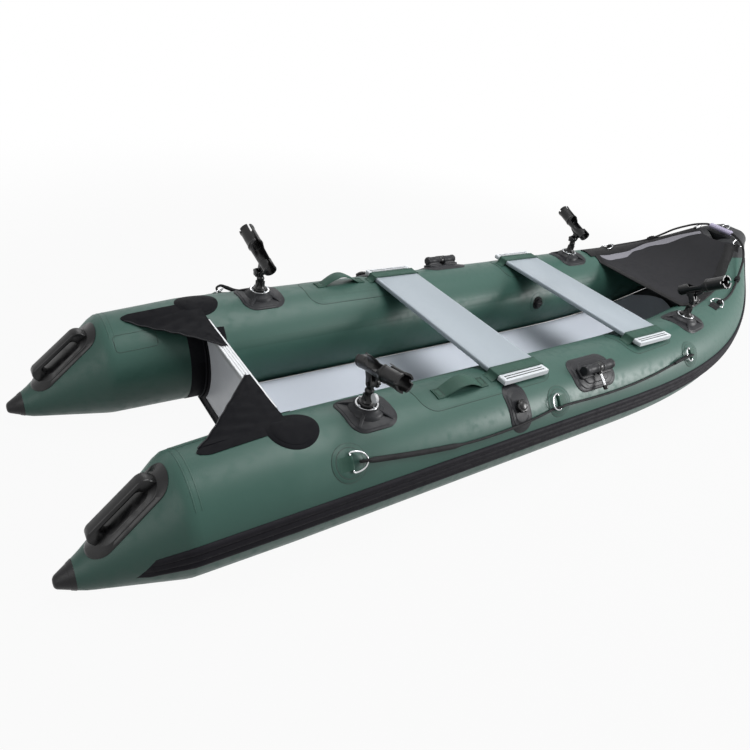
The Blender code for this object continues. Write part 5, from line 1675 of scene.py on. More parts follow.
@dataclass
class RodHolder:
    """Pad, boss, flange, swivelling neck, tilting cradle and thumb screw."""

    palette: Palette
    side: Side
    berth: Berth
    heading: float
    rise: float
    clamp: bool = False
    stations: dict[Berth, float] = field(default_factory=lambda: {Berth.AFT: 0.985, Berth.FORE: 2.995})
    pad_size: float = 0.190
    pad_corner: float = 0.055
    hinge_height: float = 0.106
    lift: float = 0.064
    length: float = 0.245
    behind: float = 0.060
    radius: float = 0.031
    bore: float = 0.0262
    collar_length: float = 0.100
    notch: float = 0.014
    slot_half_width: float = 0.006

    def __post_init__(self) -> None:
        """Find the frames of the foot, the neck and the cradle."""
        self.title = f"{self.side.tag}_{self.berth.value}_rod"
        self.station = self.stations[self.berth]
        self.foot = Matrix.Translation(FORM.point(self.side, self.station, 0.0))
        self.neck_frame = self.foot @ turned(90 - self.heading)
        hinge = self.neck_frame @ at(0, 0, self.hinge_height)
        self.cradle_frame = hinge @ turned(-self.rise, "Y")
        self.mouth = self.length - self.behind
        self.collar = self.mouth - self.collar_length
        self.slot = math.degrees(math.asin(self.slot_half_width / self.radius))

    def build(self) -> None:
        """Make every piece of the rod holder."""
        self.pad()
        self.flange()
        self.neck()
        self.cradle()
        self.knob()

    def pad(self) -> None:
        """Rubber pad with a stepped edge and four bold ribs that run out from the boss."""
        frame = FORM.frame(self.side, self.station, 0.0)
        shape = Skinned()
        outline = densified(rounded_box(self.pad_size, self.pad_size, self.pad_corner, 8), 0.010)
        levels = [(0.0, 0.0016), (0.002, 0.0034), (0.009, 0.0040), (0.0105, 0.0056), (0.013, 0.0060)]
        shape.plate(self.side, frame, outline, levels)
        for turn in (45, 135, 225, 315):
            cos, sin = math.cos(math.radians(turn)), math.sin(math.radians(turn))
            sections = []
            for reach in span(0.036, 0.104, 12):
                share = (reach - 0.036) / 0.068
                half = 0.0075 - 0.0020 * share
                high = 0.0235 - 0.0170 * share**0.8
                if share > 0.92:
                    high -= 0.004
                section = []
                for side, lift in ((-1, 0.0), (-1, 0.75), (-0.6, 1.0), (0.6, 1.0), (1, 0.75), (1, 0.0)):
                    across = side * half
                    x = reach * cos - across * sin
                    y = reach * sin + across * cos
                    section.append(FORM.wrapped(self.side, frame, x, y, 0.003 + (high - 0.003) * lift))
                sections.append(section)
            shape.loft(sections)
        shape.lathe(
            [(0.066, -0.012), (0.062, 0.006), (0.056, 0.011), (0.048, 0.016), (0.0445, 0.021),
            (0.044, 0.0238), (0.030, 0.0240)],
            self.foot,
            64,
        )
        self.palette.piece(shape, f"{self.title}_pad_moulding", "pad_black", replaces=[f"{self.title}_pad"])

    def flange(self) -> None:
        """Bright ring round the neck's foot, with four pale screws."""
        shape = Shape().torus(
            [(0.0345, 0.0236), (0.0345, 0.0262), (0.0352, 0.0268), (0.0398, 0.0268), (0.0405, 0.0260),
            (0.0405, 0.0236)],
            self.foot,
            64,
        )
        self.palette.piece(shape, f"{self.title}_flange_ring", "stainless")
        screws = Shape()
        for turn in (0, 90, 180, 270):
            place = self.foot @ turned(turn + 10) @ at(0.0368, 0, 0)
            screws.lathe([(0.0042, 0.027), (0.0042, 0.0290), (0.0034, 0.0302), (0.0010, 0.0304)], place, 20)
            slot = [(-0.0030, -0.0005), (0.0030, -0.0005), (0.0030, 0.0005), (-0.0030, 0.0005)]
            screws.prism(slot, 0.0300, 0.0306, place)
        self.palette.piece(screws, f"{self.title}_flange_screws", "end_white")

    def neck(self) -> None:
        """Swivel foot, fluted column and tongue."""
        base = 0.0266
        top = self.hinge_height
        shape = Shape().lathe(
            [(0.0300, base), (0.0300, base + 0.006), (0.0285, base + 0.0085), (0.0225, base + 0.0100),
             (0.0200, base + 0.0140), (0.0175, base + 0.0200), (0.0155, top - 0.046), (0.0150, top - 0.034),
             (0.0162, top - 0.031), (0.0162, top - 0.026), (0.0145, top - 0.0235), (0.0125, top - 0.0180)],
            self.neck_frame,
            40,
        )
        for turn in range(0, 360, 60):
            place = self.neck_frame @ turned(turn) @ at(0.0165, 0, 0)
            shape.prism(rounded_box(0.006, 0.005, 0.002, 3), base + 0.008, top - 0.040, place, edge=0.0015)
        tongue = self.neck_frame @ at(0, 0, top) @ laid("Y")
        shape.lathe([(0.0143, -0.0060), (0.0150, -0.0053), (0.0150, 0.0053), (0.0143, 0.0060)], tongue, 32)
        web = rounded_box(0.026, 0.0118, 0.002, 3)
        shape.prism(web, top - 0.026, top - 0.001, self.neck_frame)
        name = f"{self.title}_neck"
        self.palette.piece(shape, f"{name}_moulding", "moulded_black", body=name, replaces=[name],
            edge=0.0008)

    def _opening(self, x: float) -> float:
        """Half angle in degrees that the cradle is open over, at a distance along it."""
        start, collar, slot = -self.behind, self.collar, self.slot
        knots = (
            (start, 34.0), (start + 0.016, 30.0), (start + 0.026, 9.0), (start + 0.040, 9.0),
            (start + 0.050, 60.0), (start + 0.070, 82.0), (collar - 0.020, 84.0), (collar - 0.004, 58.0),
            (collar + 0.004, slot), (self.mouth, slot),
        )
        for (low, a), (high, b) in zip(knots, knots[1:]):
            if x <= high:
                return a + (b - a) * ease((x - low) / (high - low))
        return slot

    def _radii(self, x: float) -> Pair:
        """Outer and inner radius of the cradle at a distance along it."""
        start, collar, mouth = -self.behind, self.collar, self.mouth
        knots = (
            (start, 0.0268, 0.0215), (start + 0.004, 0.0282, 0.0215), (start + 0.008, 0.0268, 0.0215),
            (start + 0.044, 0.0262, 0.0215), (start + 0.062, 0.0268, 0.0222),
            (collar - 0.012, 0.0292, 0.0240),
            (collar, self.radius + 0.0002, 0.0250), (collar + 0.002, self.radius + 0.0020, self.bore),
            (collar + 0.010, self.radius + 0.0020, self.bore), (collar + 0.012, self.radius, self.bore),
            (mouth - 0.012, self.radius, self.bore), (mouth - 0.010, self.radius + 0.0018, self.bore),
            (mouth, self.radius + 0.0018, self.bore),
        )
        for (low, a, c), (high, b, d) in zip(knots, knots[1:]):
            if x <= high:
                share = (x - low) / (high - low)
                return a + (b - a) * share, c + (d - c) * share
        return knots[-1][1], knots[-1][2]

    def cradle(self) -> None:
        """Trough between a forked butt ring and a castellated collar, on two ears."""
        collar, mouth, slot = self.collar, self.mouth, self.slot
        places = sorted({
            *span(-self.behind, -self.behind + 0.060, 24), *span(-self.behind + 0.060, collar - 0.024, 8),
            *span(collar - 0.024, collar + 0.014, 16), *span(collar + 0.014, mouth - self.notch, 4),
            mouth - 0.012, mouth - 0.010, mouth,
        })
        corners = (90.0, 180.0, 270.0)
        marks = []
        for middle in corners:
            for edge in (middle - slot, middle + slot):
                marks += [(edge - 0.4 - slot) / (360 - 2 * slot), (edge + 0.4 - slot) / (360 - 2 * slot)]
        shares = sorted([*span(0.0, 1.0, 60), *marks])
        sections = []
        for share in shares:
            outer, inner = [], []
            for x in places:
                low = self._opening(x)
                angle = low + (360.0 - 2.0 * low) * share
                reach = x
                if x > mouth - self.notch and any(abs(angle - middle) < slot for middle in corners):
                    reach = mouth - self.notch + (x - mouth + self.notch) * 0.02
                turn = math.radians(angle)
                large, small = self._radii(x)
                outer.append(Vector((reach, large * math.sin(turn), self.lift + large * math.cos(turn))))
                inner.append(Vector((reach, small * math.sin(turn), self.lift + small * math.cos(turn))))
            sections.append(outer + inner[::-1])
        shape = Shape().loft(sections, self.cradle_frame)
        for sign in (-1, 1):
            root = self.lift - 0.0235
            outline = arc(0.015, span(180, 360, 16))
            outline += [(0.0150, 0.020), (0.0190, root), (-0.0190, root), (-0.0150, 0.020)]
            low, high = sorted((sign * 0.0063, sign * 0.0122))
            shape.prism(outline, low, high, self.cradle_frame @ ON_EDGE, edge=0.0008)
        steps = ((-0.030, 0.034), (-0.016, 0.046), (0.016, 0.046), (0.058, 0.036), (0.060, 0.030),
            (-0.030, 0.026))
        rib = [(x, self.lift - drop) for x, drop in steps]
        shape.prism(rib, -0.0022, 0.0022, self.cradle_frame @ ON_EDGE)
        name = f"{self.title}_cradle"
        self.palette.piece(shape, f"{name}_moulding", "moulded_black", body=name, replaces=[name],
            edge=0.0006)

    def knob(self) -> None:
        """Thumb screw with five lobes, its bolt and the bolt's head, and the clamp low on one neck."""
        place = self.cradle_frame @ laid("Y")
        shape = Shape()
        shape.prism(lobed(0.0190, 0.0145, 5), 0.0150, 0.0285, place, edge=0.0022)
        shape.lathe([(0.0105, 0.0129), (0.0115, 0.0140), (0.0115, 0.0152)], place, 32)
        shape.lathe([(0.0085, 0.0280), (0.0080, 0.0295), (0.0050, 0.0302), (0.0010, 0.0303)], place, 32)
        shape.lathe([(0.0036, -0.0150), (0.0036, 0.0140)], place, 20)
        shape.lathe([(0.0075, -0.0130), (0.0075, -0.0165), (0.0066, -0.0178), (0.0010, -0.0180)], place, 6)
        name = f"{self.title}_knob"
        self.palette.piece(shape, f"{name}_screw", "moulded_black", body=name, replaces=[name], edge=0.0006)
        if self.clamp:
            neck = f"{self.title}_neck"
            arm = Shape().pipe([self.neck_frame @ Vector((x, 0, 0.070)) for x in (0.0, 0.018, 0.036)],
                0.0058, 12)
            self.palette.piece(arm, f"{neck}_clamp_arm", "moulded_black", body=neck)
            place = self.neck_frame @ at(0.036, 0, 0.070) @ laid("Y")
            face = Shape().lathe([(0.0150, -0.0060), (0.0165, -0.0045), (0.0165, 0.0045), (0.0150, 0.0060)],
                place, 40)
            self.palette.piece(face, f"{neck}_clamp_disc", "clamp_white", body=neck)


# Fittings on the tubes


@dataclass
class Oarlock:
    """Stepped rubber block with a split barrel, and the steel pin that swings on it."""

    palette: Palette
    side: Side
    station: float = 2.090
    angle: float = 29.0
    pad_length: float = 0.265
    pad_width: float = 0.158
    corner: float = 0.055
    barrel_radius: float = 0.022
    barrel_height: float = 0.038
    barrel_length: float = 0.190
    saddle: float = 0.026
    pin_length: float = 0.090
    droop: float = 12.0

    def build(self) -> None:
        """Make the block and the pin."""
        frame = FORM.frame(self.side, self.station, self.angle)
        shape = Skinned()
        outline = densified(rounded_box(self.pad_length, self.pad_width, self.corner, 8), 0.012)
        levels = [(0.0, 0.0016), (0.002, 0.0032), (0.012, 0.0040), (0.0135, 0.0062), (0.016, 0.0068)]
        levels += [(0.029, 0.0076), (0.031, 0.0112), (0.034, 0.0122)]
        shape.plate(self.side, frame, outline, levels)
        half, gap = self.barrel_length / 2, self.saddle / 2 + 0.0004
        axis = frame @ at(0, 0, self.barrel_height) @ laid("X")
        size = self.barrel_radius
        for sign in (-1, 1):
            profile = [
                (size - 0.003, gap), (size, gap + 0.003), (size, gap + 0.012), (size - 0.0018, gap + 0.015),
                (size - 0.0018, half - 0.020), (size, half - 0.017), (size, half - 0.008),
                (size - 0.004, half - 0.001), (size - 0.012, half),
            ]
            shape.lathe([(radius, sign * place) for radius, place in profile], axis, 40)
            middle = sign * (gap + half) / 2
            foot = rounded_box(half - gap - 0.006, 0.034, 0.006)
            shape.prism(foot, 0.008, self.barrel_height - 0.006, frame @ at(middle, 0, 0), edge=0.002)
            skirt = rounded_box(half - gap + 0.010, 0.054, 0.012)
            shape.prism(skirt, 0.004, 0.0185, frame @ at(middle, 0, 0), edge=0.004)
        shape.lathe([(0.009, -gap - 0.006), (0.009, gap + 0.006)], axis, 24)
        name = f"{self.side.tag}_oarlock"
        self.palette.piece(shape, f"{name}_rubber", "pad_black", replaces=[f"{name}_block"], edge=0.0008)
        swing = turned(self.side.value * (90 + self.droop), "X")
        place = frame @ at(0, 0, self.barrel_height) @ swing
        pin = Shape().torus(
            [(0.0102, -self.saddle / 2), (0.0102, self.saddle / 2), (0.0205, self.saddle / 2),
            (size, self.saddle / 2 - 0.002),
             (size, -self.saddle / 2 + 0.002), (0.0205, -self.saddle / 2)],
            place @ laid("X"),
            40,
        )
        pin.lathe([(0.0100, 0.019), (0.0100, 0.030), (0.0086, 0.032)], place, 28)
        pin.lathe([(0.0080, self.pin_length - 0.010), (0.0098, self.pin_length - 0.006),
                   (0.0098, self.pin_length + 0.006), (0.0070, self.pin_length + 0.010)], place, 20)
        self.palette.piece(pin, f"{name}_pin_saddle", "moulded_black", body=f"{name}_pin",
            replaces=[f"{name}_pin"])
        steel = Shape().lathe([(0.0055, 0.0285), (0.0055, self.pin_length - 0.004)], place, 28)
        self.palette.piece(steel, f"{name}_pin_steel", "stainless", body=f"{name}_pin")


@dataclass
class PaddleKnob:
    """Clamp knob for a stowed paddle, on an oval patch that stands across the tube."""

    palette: Palette
    side: Side
    station: float = 1.611
    angle: float = 43.8

    def build(self) -> None:
        """Make the patch and the knob."""
        frame = FORM.frame(self.side, self.station, self.angle)
        patch = Skinned()
        outline = rounded_box(0.114, 0.204, 0.0560, 12)
        levels = [(0.0, 0.0012), (0.002, 0.0026), (0.010, 0.0030), (0.0115, 0.0048), (0.014, 0.0052)]
        levels += [(0.022, 0.0054), (0.0235, 0.0070), (0.026, 0.0074)]
        patch.plate(self.side, frame, densified(outline, 0.008), levels)
        patch.lathe([(0.0240, 0.002), (0.0225, 0.0082), (0.0200, 0.0086), (0.0100, 0.0086)], frame, 40)
        name = f"{self.side.tag}_paddle_knob"
        self.palette.piece(patch, f"{name}_patch", "pad_black")
        shape = Shape().lathe([(0.0160, 0.0090), (0.0150, 0.0110), (0.0160, 0.0130)], frame, 32)
        shape.prism(lobed(0.0275, 0.0225, 6), 0.0112, 0.0245, frame, edge=0.0034)
        shape.lathe([(0.0195, 0.0235), (0.0170, 0.0270), (0.0110, 0.0290), (0.0010, 0.0296)], frame, 40)
        self.palette.piece(shape, f"{name}_star", "moulded_black", body=name, replaces=[name], edge=0.0006)


@dataclass
class ValveCap:
    """Bayonet cap of an inflation valve."""

    palette: Palette
    side: Side
    station: float = 2.606
    angle: float = -76.7

    def build(self) -> None:
        """Make the cap."""
        frame = FORM.frame(self.side, self.station, self.angle)
        shape = Shape().lathe(
            [(0.0262, 0.0054), (0.0262, 0.0100), (0.0250, 0.0130), (0.0222, 0.0160), (0.0205, 0.0170),
            (0.0200, 0.0150),
             (0.0040, 0.0150)],
            frame,
            48,
        )
        shape.prism(rounded_box(0.040, 0.0080, 0.003), 0.0140, 0.0226, frame, edge=0.0016)
        for turn in range(0, 360, 15):
            place = frame @ turned(turn) @ at(0.0260, 0, 0)
            shape.prism(rounded_box(0.0020, 0.0026, 0.0008, 2), 0.0058, 0.0112, place)
        name = f"{self.side.tag}_valve_cap"
        self.palette.piece(shape, f"{name}_moulding", "cap_black", body=name, replaces=[name], edge=0.0005)


@dataclass(frozen=True)
class RingPlace:
    """Where a D-ring hangs on a tube, and how it lies."""

    name: str
    station: float
    angle: float
    toward_bow: int
    lift: float
    patch: float = 0.064


RINGS = (
    RingPlace("aft", 0.845, 47.0, 1, 24.0),
    RingPlace("mid", 1.830, 51.0, -1, 14.0),
    RingPlace("fore", 2.825, 50.0, -1, 12.0),
    RingPlace("bow", 3.330, 9.0, 1, 12.0, patch=0.0),
)


@dataclass
class DRing:
    """Stainless D-ring, hung in a fabric tab on a double round patch."""

    palette: Palette
    side: Side
    place: RingPlace
    half_width: float = 0.033
    reach: float = 0.052
    wire: float = 0.003
    axis_height: float = 0.0060
    tab_length: float = 0.046
    steps: int = 40

    def frame(self) -> Matrix:
        """Frame of the ring's bar: X along it, Y the way that the loop reaches."""
        skin = FORM.frame(self.side, self.place.station, self.place.angle, self.axis_height)
        return skin @ turned(-90 * self.place.toward_bow) @ turned(self.place.lift, "X")

    def loop(self, frame: Matrix) -> list[Vector]:
        """Middle line of the D's wire."""
        line = []
        for step in range(self.steps):
            turn = math.pi * (step + 0.5) / self.steps
            rounded = math.sin(turn) ** 0.8
            line.append(frame @ Vector((self.half_width * math.cos(turn), self.reach * rounded, 0)))
        for share in span(-0.92, 0.92, 10):
            line.append(frame @ Vector((self.half_width * share, 0, 0)))
        return line

    def build(self) -> None:
        """Make the ring, its tab and its patch."""
        frame = self.frame()
        name = f"{self.side.tag}_{self.place.name}_ring"
        ring = Shape().pipe(self.loop(frame), self.wire, 12, endless=True, first_up=frame.to_3x3() @ UP)
        self.palette.piece(ring, f"{name}_wire", "stainless", body=name, replaces=[name], sharp=60)
        finish = "strap_green" if self.place.patch else "hem_black"
        self.palette.piece(self.tab(), f"{name}_tab", finish)
        if self.place.patch:
            size = self.place.patch
            flat = FORM.frame(self.side, self.place.station, self.place.angle)
            flat = flat @ at(-self.place.toward_bow * 0.004, 0, 0)
            wide, narrow = disc(size, 64), disc(size - 0.015, 56)
            patch = Skinned().plate(self.side, flat, wide, [(0.0, 0.0008), (0.0015, 0.0016)])
            patch.plate(self.side, flat, narrow, [(0.0, 0.0018), (0.0015, 0.0028)])
            self.palette.piece(patch, f"{name}_patch", "patch_green")
            lines = Skinned().edging(self.side, flat, wide).edging(self.side, flat, narrow, 0.0022)
            self.palette.piece(lines, f"{name}_patch_edges", "thread_dark")

    def tab(self) -> Shape:
        """Fabric wrapped round the ring's bar, with both its layers bonded behind it."""
        half = self.tab_length / 2
        flat = FORM.frame(self.side, self.place.station, self.place.angle)
        base = flat @ turned(-90 * self.place.toward_bow)
        line = [(-0.046, 0.0008), (-0.044, 0.0030), (-0.020, 0.0040), (-0.009, 0.0085)]
        line += arc(self.wire + 0.0030, (120, 90, 60, 30, 0, -30, -60, -90), 0.0, self.axis_height)
        line += [(-0.012, 0.0004), (-0.046, 0.0002)]
        sections = []
        for x in span(-half, half, 6):
            section = []
            for y, z in line:
                local = base @ Vector((x, y, 0))
                station, angle, _ = FORM.nearest(self.side, local)
                section.append(FORM.point(self.side, station, angle, z))
            sections.append(section)
        return Skinned().loft(sections)


# Bow


@dataclass
class BowCover:
    """Spray cover stretched between the tubes, with hems, a wavy band of painted highlight where the cover
    turns up the port tube, and the foremost rings.
    """

    palette: Palette
    aft: float = 3.190
    fore: float = 3.825
    hems: dict[Side, tuple[float, float, float, float]] = field(
        default_factory=lambda: {Side.PORT: (-2.0, 3.45, 14.0, 3.60),
        Side.STARBOARD: (-15.0, 3.70, 0.0, 3.825)}
    )
    leave: float = -30.0
    thickness: float = 0.0022
    hem_width: float = 0.040

    def hem_angle(self, side: Side, station: float) -> float:
        """Angle of the cover's edge on a tube."""
        low, first, high, last = self.hems[side]
        return low + (high - low) * ease((station - first) / (last - first))

    def _row(self, station: float, height: float, steps: int = 12, sag: float = 0.0) -> list[Vector]:
        """Points across the cover from the port hem to the starboard hem."""
        sides = {}
        for side in Side:
            hem = self.hem_angle(side, station)
            angles = span(hem, self.leave, steps)
            sides[side] = [FORM.point(side, station, angle, height) for angle in angles]
        port, starboard = sides[Side.PORT], sides[Side.STARBOARD]
        middle = []
        for share in span(0.0, 1.0, 16)[1:-1]:
            point = port[-1].lerp(starboard[-1], share)
            point.z -= sag * 4.0 * share * (1.0 - share)
            middle.append(point)
        return port + middle + starboard[::-1]

    def build(self) -> None:
        """Make the cover, its hems, its painted highlight band and the foremost rings."""
        rows = []
        for station in span(self.aft, self.fore, 44):
            drape = ease((station - self.aft) / 0.12)
            row = self._row(station, 0.0006, sag=0.004 * drape)
            for point in row[12:-12]:
                point.z += 0.0012 * drape * noise.noise(Vector((point.x * 9.0, point.y * 6.0, 1.7)))
            rows.append(row)
        cover = Shape().grid(rows, self.thickness)
        item = self.palette.piece(cover, "bow_spray_cover", "cover_charcoal", replaces=["bow_cover"],
            sharp=50)
        self.hem_strips()
        self.painted_highlight_band()
        self.rings()

    def hem_strips(self) -> None:
        """Black hems along both tubes and across the cover's open edge."""
        shape = Skinned()
        for side in Side:
            rows = []
            first = self.aft - (0.040 if side is Side.PORT else 0.0)
            for station in span(first, self.fore - 0.012, 60):
                radius = FORM.section(station)[2]
                over = 0.052 if side is Side.PORT else 0.012
                start = self.hem_angle(side, station) + math.degrees(over / radius)
                stop = start - math.degrees((self.hem_width + over) / radius)
                levels = [(start, 0.0004), (start - 0.6, 0.0050)]
                levels += [(start + (stop - start) * share, lift)
                           for share, lift in ((0.2, 0.0064), (0.5, 0.0060), (0.9, 0.0052))]
                levels += [(stop, 0.0026)]
                rows.append([FORM.point(side, station, angle, height) for angle, height in levels])
            shape.grid(rows, 0.0016 * side.value * -1)
        steps = ((-0.004, 0.0010), (0.0, 0.0034), (0.018, 0.0034), (0.034, 0.0030))
        shape.grid([self._row(self.aft + offset, lift) for offset, lift in steps], 0.0014)
        self.palette.piece(shape, "bow_cover_hems", "hem_black", sharp=50)
        rolled = Shape().pipe(self._row(self.aft - 0.002, 0.0016, 20), 0.0034, 10)
        self.palette.piece(rolled, "bow_cover_piping", "hem_black")

    def painted_highlight_band(self) -> None:
        """Painted highlight: a paler, glossier band with wavy edges along the port side of the cover, where
        it turns up the tube and faces the light.
        """
        rows = []
        for station in span(self.aft + 0.012, self.fore - 0.004, 60):
            radius = FORM.section(station)[2]
            hem = self.hem_angle(Side.PORT, station) - math.degrees((self.hem_width + 0.004) / radius)
            wave = math.radians(1.0) * math.sin(26.0 * station)
            wave += math.radians(0.6) * math.sin(47.0 * station + 1.3)
            width = 0.034 + 0.011 * math.sin(19.0 * station + 0.8) + 0.005 * math.sin(41.0 * station)
            fade = ease((station - self.aft) / 0.07)
            start = hem + math.degrees(wave * 0.18 / radius)
            stop = start - math.degrees(max(0.002, width * fade) / radius)
            angles = [max(start + (stop - start) * share, self.leave) for share in span(0.0, 1.0, 4)]
            rows.append([FORM.point(Side.PORT, station, angle, 0.0031) for angle in angles])
        shape = Skinned().grid(rows, 0.0006)
        # The band carries painted highlight, not a paler fabric.
        self.palette.piece(shape, "bow_cover_wavy_band", "cover_painted_highlight", sharp=50)

    def rings(self) -> None:
        """Fixed rings at the cover's front corners and one on top of the horn, with their tabs."""
        wire, tabs = Shape(), Shape()
        for side in Side:
            tip = RingPlace("tip", 3.820, 13.0, 1, 20.0)
            ring = DRing(self.palette, side, tip, half_width=0.024, reach=0.036, tab_length=0.026)
            frame = ring.frame()
            wire.pipe(ring.loop(frame), ring.wire, 12, endless=True, first_up=frame.to_3x3() @ UP)
            part = ring.tab()
            start = len(tabs.points)
            tabs.points += part.points
            tabs.faces += [tuple(start + index for index in face) for face in part.faces]
        ring = DRing(self.palette, Side.STARBOARD, RINGS[-1], half_width=0.020, reach=0.030)
        place = at(0, 1.853, 0.722) @ turned(24, "X")
        wire.pipe(ring.loop(place), 0.0026, 12, endless=True, first_up=place.to_3x3() @ UP)
        tabs.prism(rounded_box(0.022, 0.030, 0.004), -0.0060, 0.0040, at(0, 1.846, 0.721), edge=0.0015)
        self.palette.piece(wire, "bow_fixed_rings", "stainless", sharp=60)
        self.palette.piece(tabs, "bow_fixed_tabs", "hem_black")


# Lines


GRAB_LINE = (
    (1.000, 52.3, 0.0150), (0.950, 50.6, 0.0180), (0.915, 49.0, 0.0330), (0.887, 48.0, 0.0450),
    (0.866, 47.6, 0.0340),
    (0.872, 47.8, 0.0160), (0.905, 49.4, 0.0075), (0.960, 51.6, 0.0060), (1.140, 58.0, 0.0062),
    (1.340, 63.0, 0.0062),
    (1.560, 63.0, 0.0062), (1.700, 60.2, 0.0062), (1.795, 57.3, 0.0062), (1.814, 57.0, 0.0105),
    (1.832, 57.0, 0.0165),
    (1.855, 57.0, 0.0110), (1.900, 57.6, 0.0062), (2.100, 59.5, 0.0062), (2.300, 58.9, 0.0062),
    (2.460, 56.8, 0.0062),
    (2.600, 54.2, 0.0062), (2.740, 51.4, 0.0060), (2.786, 50.6, 0.0062), (2.802, 50.4, 0.0160),
    (2.800, 50.3, 0.0290),
    (2.778, 50.2, 0.0360), (2.745, 50.4, 0.0290), (2.705, 51.2, 0.0170), (2.660, 52.0, 0.0150),
)
BOW_LINE = (
    (3.352, 10.0, 0.0060), (3.400, 12.0, 0.0060), (3.450, 15.0, 0.0062), (3.520, 17.0, 0.0062),
    (3.600, 18.0, 0.0064),
    (3.665, 18.0, 0.0110), (3.710, 19.0, 0.0200), (3.750, 21.0, 0.0290), (3.790, 24.0, 0.0290),
    (3.828, 21.0, 0.0250),
)


@dataclass
class Lines:
    """Braided grab lines along both tubes, and the bow line with its grip."""

    palette: Palette
    radius: float = 0.0050
    bow_radius: float = 0.0062
    strands: int = 8
    lay: float = 0.034
    grip_length: float = 0.140
    grip_place: tuple[float, float, float] = (0.0, 1.812, 0.711)

    def braid(self, radius: float) -> Callable[[float, float], float]:
        """Radius of a braided rope: strands that wind both ways and cross."""
        pitch = self.lay * radius / self.radius

        def reach(distance: float, turn: float) -> float:
            """Radius at a distance along the rope and a turn round it."""
            wound = 2 * math.pi * distance / pitch
            half = self.strands / 2
            one, other = math.sin(half * (turn + wound)), math.sin(half * (turn - wound))
            return radius * (0.94 + 0.06 * max(abs(one), abs(other)))

        return reach

    @staticmethod
    def _stretch(path: Sequence[Vector], start: float, length: float) -> list[Vector]:
        """The points of a path that lie on a stretch of it."""
        walked, stretch = 0.0, []
        for near, far in zip(path, path[1:]):
            if start <= walked <= start + length:
                stretch.append(near)
            walked += (far - near).length
        return stretch

    def knot(self, shape: Shape, path: Sequence[Vector], start: float, length: float, radius: float) -> None:
        """Wind turns of rope round a stretch of a line.

        Args:
            shape: the shape that the knot is added to.
            path: the line's points.
            start: distance along the line where the knot starts.
            length: length of line that it covers.
            radius: radius of the rope that it is tied in.
        """
        stretch = curve_through(self._stretch(path, start, length), 0.0016)
        coil = []
        normal = UP
        turns = length / (2.1 * radius)
        for index in range(len(stretch) - 1):
            along = (stretch[index + 1] - stretch[index]).normalized()
            normal = (normal - along * normal.dot(along)).normalized()
            across = along.cross(normal)
            share = index / (len(stretch) - 2)
            turn = 2 * math.pi * turns * share
            reach = radius * (1.25 + 0.55 * math.sin(math.pi * share))
            coil.append(stretch[index] + (normal * math.cos(turn) + across * math.sin(turn)) * reach)
        shape.pipe(coil, radius * 0.85, 8)

    def splice(
        self, shape: Shape, path: Sequence[Vector], start: float, length: float, radius: float
    ) -> None:
        """Lay a thicker braid over a stretch of a line, tapered at both ends."""
        stretch = self._stretch(path, start, length)
        wound = self.braid(radius)

        def reach(distance: float, turn: float) -> float:
            """Radius of the braid, faded to the rope's own at both ends."""
            fade = ease(min(distance, length - distance) / 0.05)
            return self.radius + (wound(distance, turn) - self.radius) * fade

        shape.pipe(curve_through(stretch[::3] + stretch[-1:], 0.0028), reach, 18)

    def build(self) -> None:
        """Make the lines, their knots and the grip."""
        for side in Side:
            self.grab_line(side)
        self.bow_line()

    def grab_line(self, side: Side) -> None:
        """One tube's grab line with a knot at each end."""
        knots = [FORM.point(side, *place) for place in GRAB_LINE]
        path = curve_through(knots, 0.0030)
        rope = Shape().pipe(path, self.braid(self.radius), 16)
        name = f"{side.tag}_grab_line"
        item = self.palette.piece(rope, f"{name}_rope", "rope_black", replaces=[name], sharp=60)
        shape = Shape()
        total = path_length(path)
        self.splice(shape, path, 0.002, 0.130, 0.0088)
        self.splice(shape, path, 0.180, 0.420, 0.0098)
        self.splice(shape, path, total - 0.330, 0.200, 0.0074)
        self.splice(shape, path, total - 0.100, 0.098, 0.0070)
        knot = self.palette.piece(shape, f"{name}_knots", "rope_black")

    def bow_line(self) -> None:
        """Line between the bow rings through the grip."""
        half = [FORM.point(Side.STARBOARD, *place) for place in BOW_LINE]
        grip = Vector(self.grip_place)
        half += [grip + Vector((share * self.grip_length, 0, 0)) for share in (0.61, 0.55)]
        knots = half + [flipped(point) for point in reversed(half)]
        path = curve_through(knots, 0.0034)
        rope = Shape().pipe(path, self.braid(self.bow_radius), 16)
        item = self.palette.piece(rope, "bow_line_rope", "rope_black", replaces=["bow_line"], sharp=60)
        shape = Shape()
        total = path_length(path)
        for start in (0.004, 0.300, total - 0.048, total - 0.345):
            self.knot(shape, path, start, 0.042, self.bow_radius)
        knot = self.palette.piece(shape, "bow_line_knots", "rope_black")
        place = Matrix.Translation(grip) @ laid("X")
        reach = self.grip_length / 2
        profile = [(0.0068, -reach), (0.0125, -reach), (0.0146, -reach + 0.003), (0.0150, -reach + 0.010)]
        for share in span(-0.8, 0.8, 8):
            profile.append((0.0150 + 0.0005 * math.cos(share * 18.0), reach * share))
        profile += [(radius, -height) for radius, height in reversed(profile[:4])]
        sleeve = Shape().torus(profile, place, 40)
        grip_piece = self.palette.piece(sleeve, "bow_grip_sleeve", "grip_lilac", replaces=["bow_grip"],
            sharp=50)


# Stage


WHITE = (1.0, 1.0, 1.0, 1.0)
LAMPS = (
    ("overhead_softbox", (0.3, 0.4, 4.4), 3.0, 188.0),
    ("port_key", (-4.2, 0.6, 3.4), 2.4, 40.0),
    ("aft_fill", (1.0, -5.4, 2.2), 2.6, 48.0),
    ("starboard_bow_fill", (3.4, 3.8, 2.2), 1.8, 250.0),
)


